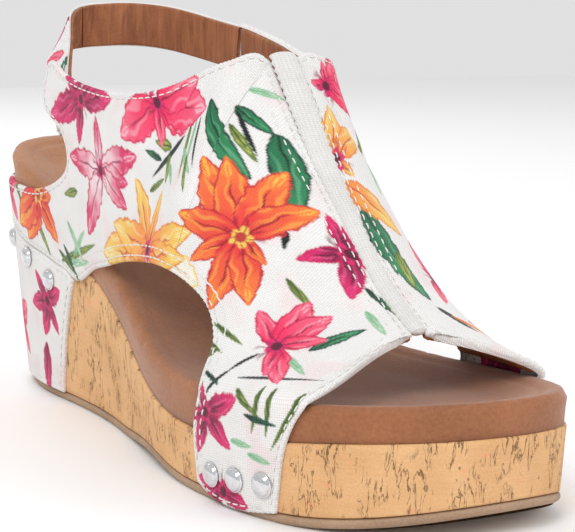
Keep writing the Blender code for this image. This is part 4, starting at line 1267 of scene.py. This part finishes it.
# The piping is padded out past its solid, most near the throat, to cover the seam's open edges.
PIPING_COVERS = 1.3
PIPING_AT_THROAT = 1.8


def make_piping(finish):
    """The soft strip down the centre, gathered by its slanting stitches."""
    count = 260
    corners = 28
    y = np.linspace(SEAM_Y[-1], SEAM_Y[0], count)
    centre = np.stack([spline(SEAM_Y, SEAM_X, y), y, spline(SEAM_Y, SEAM_Z, y)], axis=1)
    travel = np.concatenate([[0], np.cumsum(np.linalg.norm(np.diff(centre, axis=0), axis=1))])
    run = np.gradient(centre, axis=0)
    run /= np.linalg.norm(run, axis=1)[:, None]
    across = np.cross(np.array([0.0, 0.0, 1.0]), run)
    across /= np.linalg.norm(across, axis=1)[:, None]
    up = np.cross(run, across)
    rows = []
    plans = []
    nearer = np.clip(np.minimum(travel, travel[-1] - travel) / PIPING_END, 0, 1)
    closing = np.sqrt(1 - (1 - nearer) ** 2)
    half = PIPING_HALF_WIDTH + PIPING_COVERS + PIPING_AT_THROAT * smooth_step(y, -62, -22)
    for k in range(corners + 1):
        angle = 2 * math.pi * k / corners
        gather = 1 + 0.07 * np.sin(2 * math.pi * (travel / 2.7 + 0.22 * math.cos(angle)))
        wide = math.cos(angle) * half * gather * closing
        tall = math.sin(angle) * (PIPING_THICKNESS / 2 + 0.15) * gather * closing + 0.9
        rows.append(centre + across * wide[:, None] + up * tall[:, None])
        plans.append(np.column_stack([travel, np.full(count, k * 0.45)]))
    faces = [
        (k * count + i, (k + 1) * count + i, (k + 1) * count + i + 1, k * count + i + 1)
        for k in range(corners) for i in range(count - 1)
    ]
    obj = make_piece("centre_piping", np.concatenate(rows), faces, finish, uv=np.concatenate(plans))
    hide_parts("seam_piping")


# ---- the strap ----------------------------------------------------------------------------------


def band(name, start, stop, layer, width, finish, tint=None):
    """A flat band along the strap's route with rolled long edges, closed at both ends."""
    low, high = layer
    half = width / 2
    thick = (high - low) / 2
    lifts = np.linspace(-half + thick, half - thick, 36)
    turns = np.linspace(math.pi / 2, -math.pi / 2, 7)[1:-1]
    right = [(half - thick + thick * math.cos(t), thick * math.sin(t)) for t in turns]
    left = [(-half + thick - thick * math.cos(t), -thick * math.sin(t)) for t in turns]
    top = [(x, thick) for x in lifts]
    under = [(x, -thick) for x in lifts[::-1]]
    section = np.array(top + right + under + left)
    travels = np.linspace(start, stop, max(3, round((stop - start) / 0.8)))
    middle = (low + high) / 2
    rails = []
    plans = []
    for lift, out in section:
        pucker = 0.12 * noise_at([(t, lift) for t in travels], 6.0, 4.0) * (abs(out) > 0.4 * thick)
        base = strap_point(travels, lift, 0.0)
        facing = strap_point(travels, lift, 1.0) - base
        rails.append(base + facing * (middle + out + pucker)[:, None])
        plans.append(np.column_stack([travels, np.full(len(travels), lift + (0 if out > 0 else 40))]))
    count = len(travels)
    corners = len(section)
    faces = []
    for k in range(corners):
        here = k * count
        following = (k + 1) % corners * count
        faces += [(here + i, following + i, following + i + 1, here + i + 1) for i in range(count - 1)]
    faces.append(tuple(k * count for k in range(corners)))
    faces.append(tuple(k * count + count - 1 for k in reversed(range(corners))))
    every = np.concatenate(plans)
    shade = tint(every) if tint else None
    return make_piece(name, np.concatenate(rails), faces, finish, None, every, shade)


def bend_over(obj, first, second, start, stop):
    """Bakes the piece's placement into its mesh; it does not turn the piece from one body to the next, and
    the two bodies it is given are not used.
    """
    ends = [(strap_point(float(t), 0.0, 0.0) - MIDDLE) * MM for t in (start, stop)]
    tuple(ends[0])
    tuple(ends[1])
    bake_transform(obj)


STRAP_PARTS = (
    ("long", STRAP_START - 2.5, 190.0, "sandal", "strap", STRAP_START - 3, STRAP_START + 9),
    ("end", 190.0, STRAP_TIP, "strap", "strap_end", STRAP_BEND - 7, STRAP_BEND + 7),
)


def make_strap(canvas, lining, thread):
    outer = (CANVAS[0], CANVAS[0] + STRAP_CANVAS)
    inner = (CANVAS[0] - GAP - STRAP_LINING, CANVAS[0] - 0.05)
    shown = {"long": ("strap_canvas", "strap_lining"), "end": ("strap_end_canvas", "strap_end_lining")}
    for word, start, stop, first, second, turn_from, turn_to in STRAP_PARTS:
        cloth_band = band(f"strap_{word}_cloth", start, stop, outer, STRAP_WIDTH, canvas, strap_print)
        leather_name = f"strap_{word}_leather"
        leather_band = band(leather_name, start + 0.3, stop - 0.3, inner, STRAP_WIDTH - 0.8, lining)
        cloth_node, leather_node = shown[word]
        for obj, node, slot_name in (
            (cloth_band, cloth_node, "canvas"),
            (leather_band, leather_node, "lining"),
        ):
            bend_over(obj, first, second, turn_from, turn_to)
            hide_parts(node)
        travels = np.arange(start + 1.5, stop - 1.0, 0.8)
        runs = []
        for lift in (-STRAP_WIDTH / 2 + 1.9, STRAP_WIDTH / 2 - 1.9):
            low = strap_point(travels, lift, outer[1] - 0.05)
            runs.append((low, strap_point(travels, lift, outer[1] + 0.95) - low))
        obj = stitching(f"strap_{word}_stitches", runs, thread, None)
        bend_over(obj, first, second, turn_from, turn_to)


def refinish(node, finish):
    """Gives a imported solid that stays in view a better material."""
    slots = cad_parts[node].data.materials
    slots.clear()
    slots.append(finish)


def make_patches(hook):
    """The loop patch inside the outer tab and the hook patch on the strap's end keep their solids."""
    for node in ("loop_patch", "hook_patch"):
        refinish(node, hook)


# ---- the studs ----------------------------------------------------------------------------------


STUD_BRIM = 0.45
STUD_ROUND = 36
DOME_STEPS = 11


def make_studs(finish):
    """Domed nail heads with a thin turned rim."""
    segments = STUD_ROUND
    profile = [(STUD_RADIUS - 0.15, -0.1), (STUD_RADIUS, 0.05), (STUD_RADIUS, 0.3), (STUD_RADIUS - 0.2, 0.42)]
    for step in range(DOME_STEPS):
        angle = math.pi / 2 * step / DOME_STEPS
        across = (STUD_RADIUS - STUD_BRIM) * math.cos(angle)
        profile.append((across, STUD_BRIM + (STUD_HEIGHT - STUD_BRIM) * math.sin(angle)))
    for name, place, out in stud_places():
        turn = Vector(out).to_track_quat("Z", "Y").to_matrix()
        points = []
        for radius, height in profile:
            for k in range(segments):
                angle = 2 * math.pi * k / segments
                local = Vector((radius * math.cos(angle), radius * math.sin(angle), height))
                points.append(Vector(place) + turn @ local)
        points.append(Vector(place) + turn @ Vector((0, 0, STUD_HEIGHT)))
        faces = []
        for r in range(len(profile) - 1):
            for k in range(segments):
                j = (k + 1) % segments
                low = r * segments
                high = low + segments
                faces.append((low + k, low + j, high + j, high + k))
        last = (len(profile) - 1) * segments
        faces += [(last + k, last + (k + 1) % segments, len(points) - 1) for k in range(segments)]
        shown = name.replace("stud", "nail_head")
        obj = make_piece(shown, np.array([tuple(p) for p in points]), faces, finish)
        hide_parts(name)


# ---- the set ------------------------------------------------------------------------------------

CAMERA_EYE = (-305.28, -507.47, 151.80)
CAMERA_AIM = (0.2, -2.9, 45.0)
CAMERA_ROLL = -0.834
CAMERA_SHIFT = (0.0768, 0.0621)
CAMERA_LENS = 116.3
SENSOR_WIDTH = 36.0
FLOOR_HALF = 1.6
WORLD_STRENGTH = 0.75
# Each light: place in metres, diameter, power.
LIGHTS = {
    "key": ((-0.9, -0.7, 1.1), 0.7, 9.0),
    "fill": ((0.9, -0.9, 0.7), 0.9, 4.0),
    "back": ((0.2, 1.1, 1.0), 0.8, 4.0),
}


def make_floor():
    mesh = bpy.data.meshes.new("floor")
    half = FLOOR_HALF
    corners = [(-half, -half, 0), (half, -half, 0), (half, half, 0), (-half, half, 0)]
    mesh.from_pydata(corners, [], [(0, 1, 2, 3)])
    made = Nodes("floor", 0.9)
    made.shader.inputs["Base Color"].default_value = (0.93, 0.93, 0.93, 1.0)
    mesh.materials.append(made.material)
    obj = bpy.data.objects.new("floor", mesh)
    bpy.context.collection.objects.link(obj)


def make_light(name, place, size, power):
    light = bpy.data.lights.new(name, "AREA")
    light.shape = "DISK"
    light.size = size
    light.energy = power
    obj = bpy.data.objects.new(name, light)
    obj.location = place
    aim = Vector((0.0, 0.0, 0.05)) - Vector(place)
    obj.rotation_euler = aim.to_track_quat("-Z", "Y").to_euler()
    bpy.context.collection.objects.link(obj)


def make_set():
    scene = bpy.context.scene
    scene.view_settings.view_transform = "Standard"
    world = bpy.data.worlds.new("studio")
    world.use_nodes = True
    world.node_tree.nodes["Background"].inputs["Color"].default_value = (1.0, 1.0, 1.0, 1.0)
    world.node_tree.nodes["Background"].inputs["Strength"].default_value = WORLD_STRENGTH
    scene.world = world
    make_floor()
    for name, (place, size, power) in LIGHTS.items():
        make_light(name, place, size, power)
    camera = bpy.data.cameras.new("camera")
    camera.sensor_width = SENSOR_WIDTH
    camera.lens = CAMERA_LENS
    camera.shift_x, camera.shift_y = CAMERA_SHIFT
    camera.clip_start = 0.01
    obj = bpy.data.objects.new("camera", camera)
    eye = Vector(CAMERA_EYE)
    back = (eye - Vector(CAMERA_AIM)).normalized()
    right = Vector((0, 0, 1)).cross(back).normalized()
    up = back.cross(right)
    roll = math.radians(CAMERA_ROLL)
    across = right * math.cos(roll) - up * math.sin(roll)
    upward = right * math.sin(roll) + up * math.cos(roll)
    axes = Matrix((across, upward, back))
    obj.matrix_world = Matrix.Translation(eye * MM) @ axes.transposed().to_4x4()
    bpy.context.collection.objects.link(obj)
    scene.camera = obj


def main():
    canvas = canvas_material("printed_canvas")
    plain = canvas_material("plain_canvas", srgb(236, 234, 231))
    thread = thread_material()
    lining = lining_material()
    hook = hook_material()
    make_cork(cork_material())
    make_outsole(rubber_material())
    make_footbed(footbed_material())
    make_uppers(canvas, thread, lining)
    make_heel_wrap(canvas, thread)
    make_piping(plain)
    make_strap(canvas, lining, thread)
    make_patches(hook)
    make_studs(chrome_material())
    inside = {
        "wedge_core": inner_material("core", srgb(190, 158, 118), srgb(216, 188, 150), 300.0, 0.85),
        "footbed_foam": inner_material("latex_foam", srgb(214, 208, 190), srgb(234, 230, 216), 800.0, 0.9),
        "insole_board": inner_material("fibre_board", srgb(168, 146, 112), srgb(196, 176, 142), 500.0, 0.9),
        "shank": inner_material("spring_steel", srgb(150, 150, 154), srgb(186, 186, 190), 700.0, 0.35, 1.0),
    }
    for node, finish in inside.items():
        refinish(node, finish)
    make_set()


main()
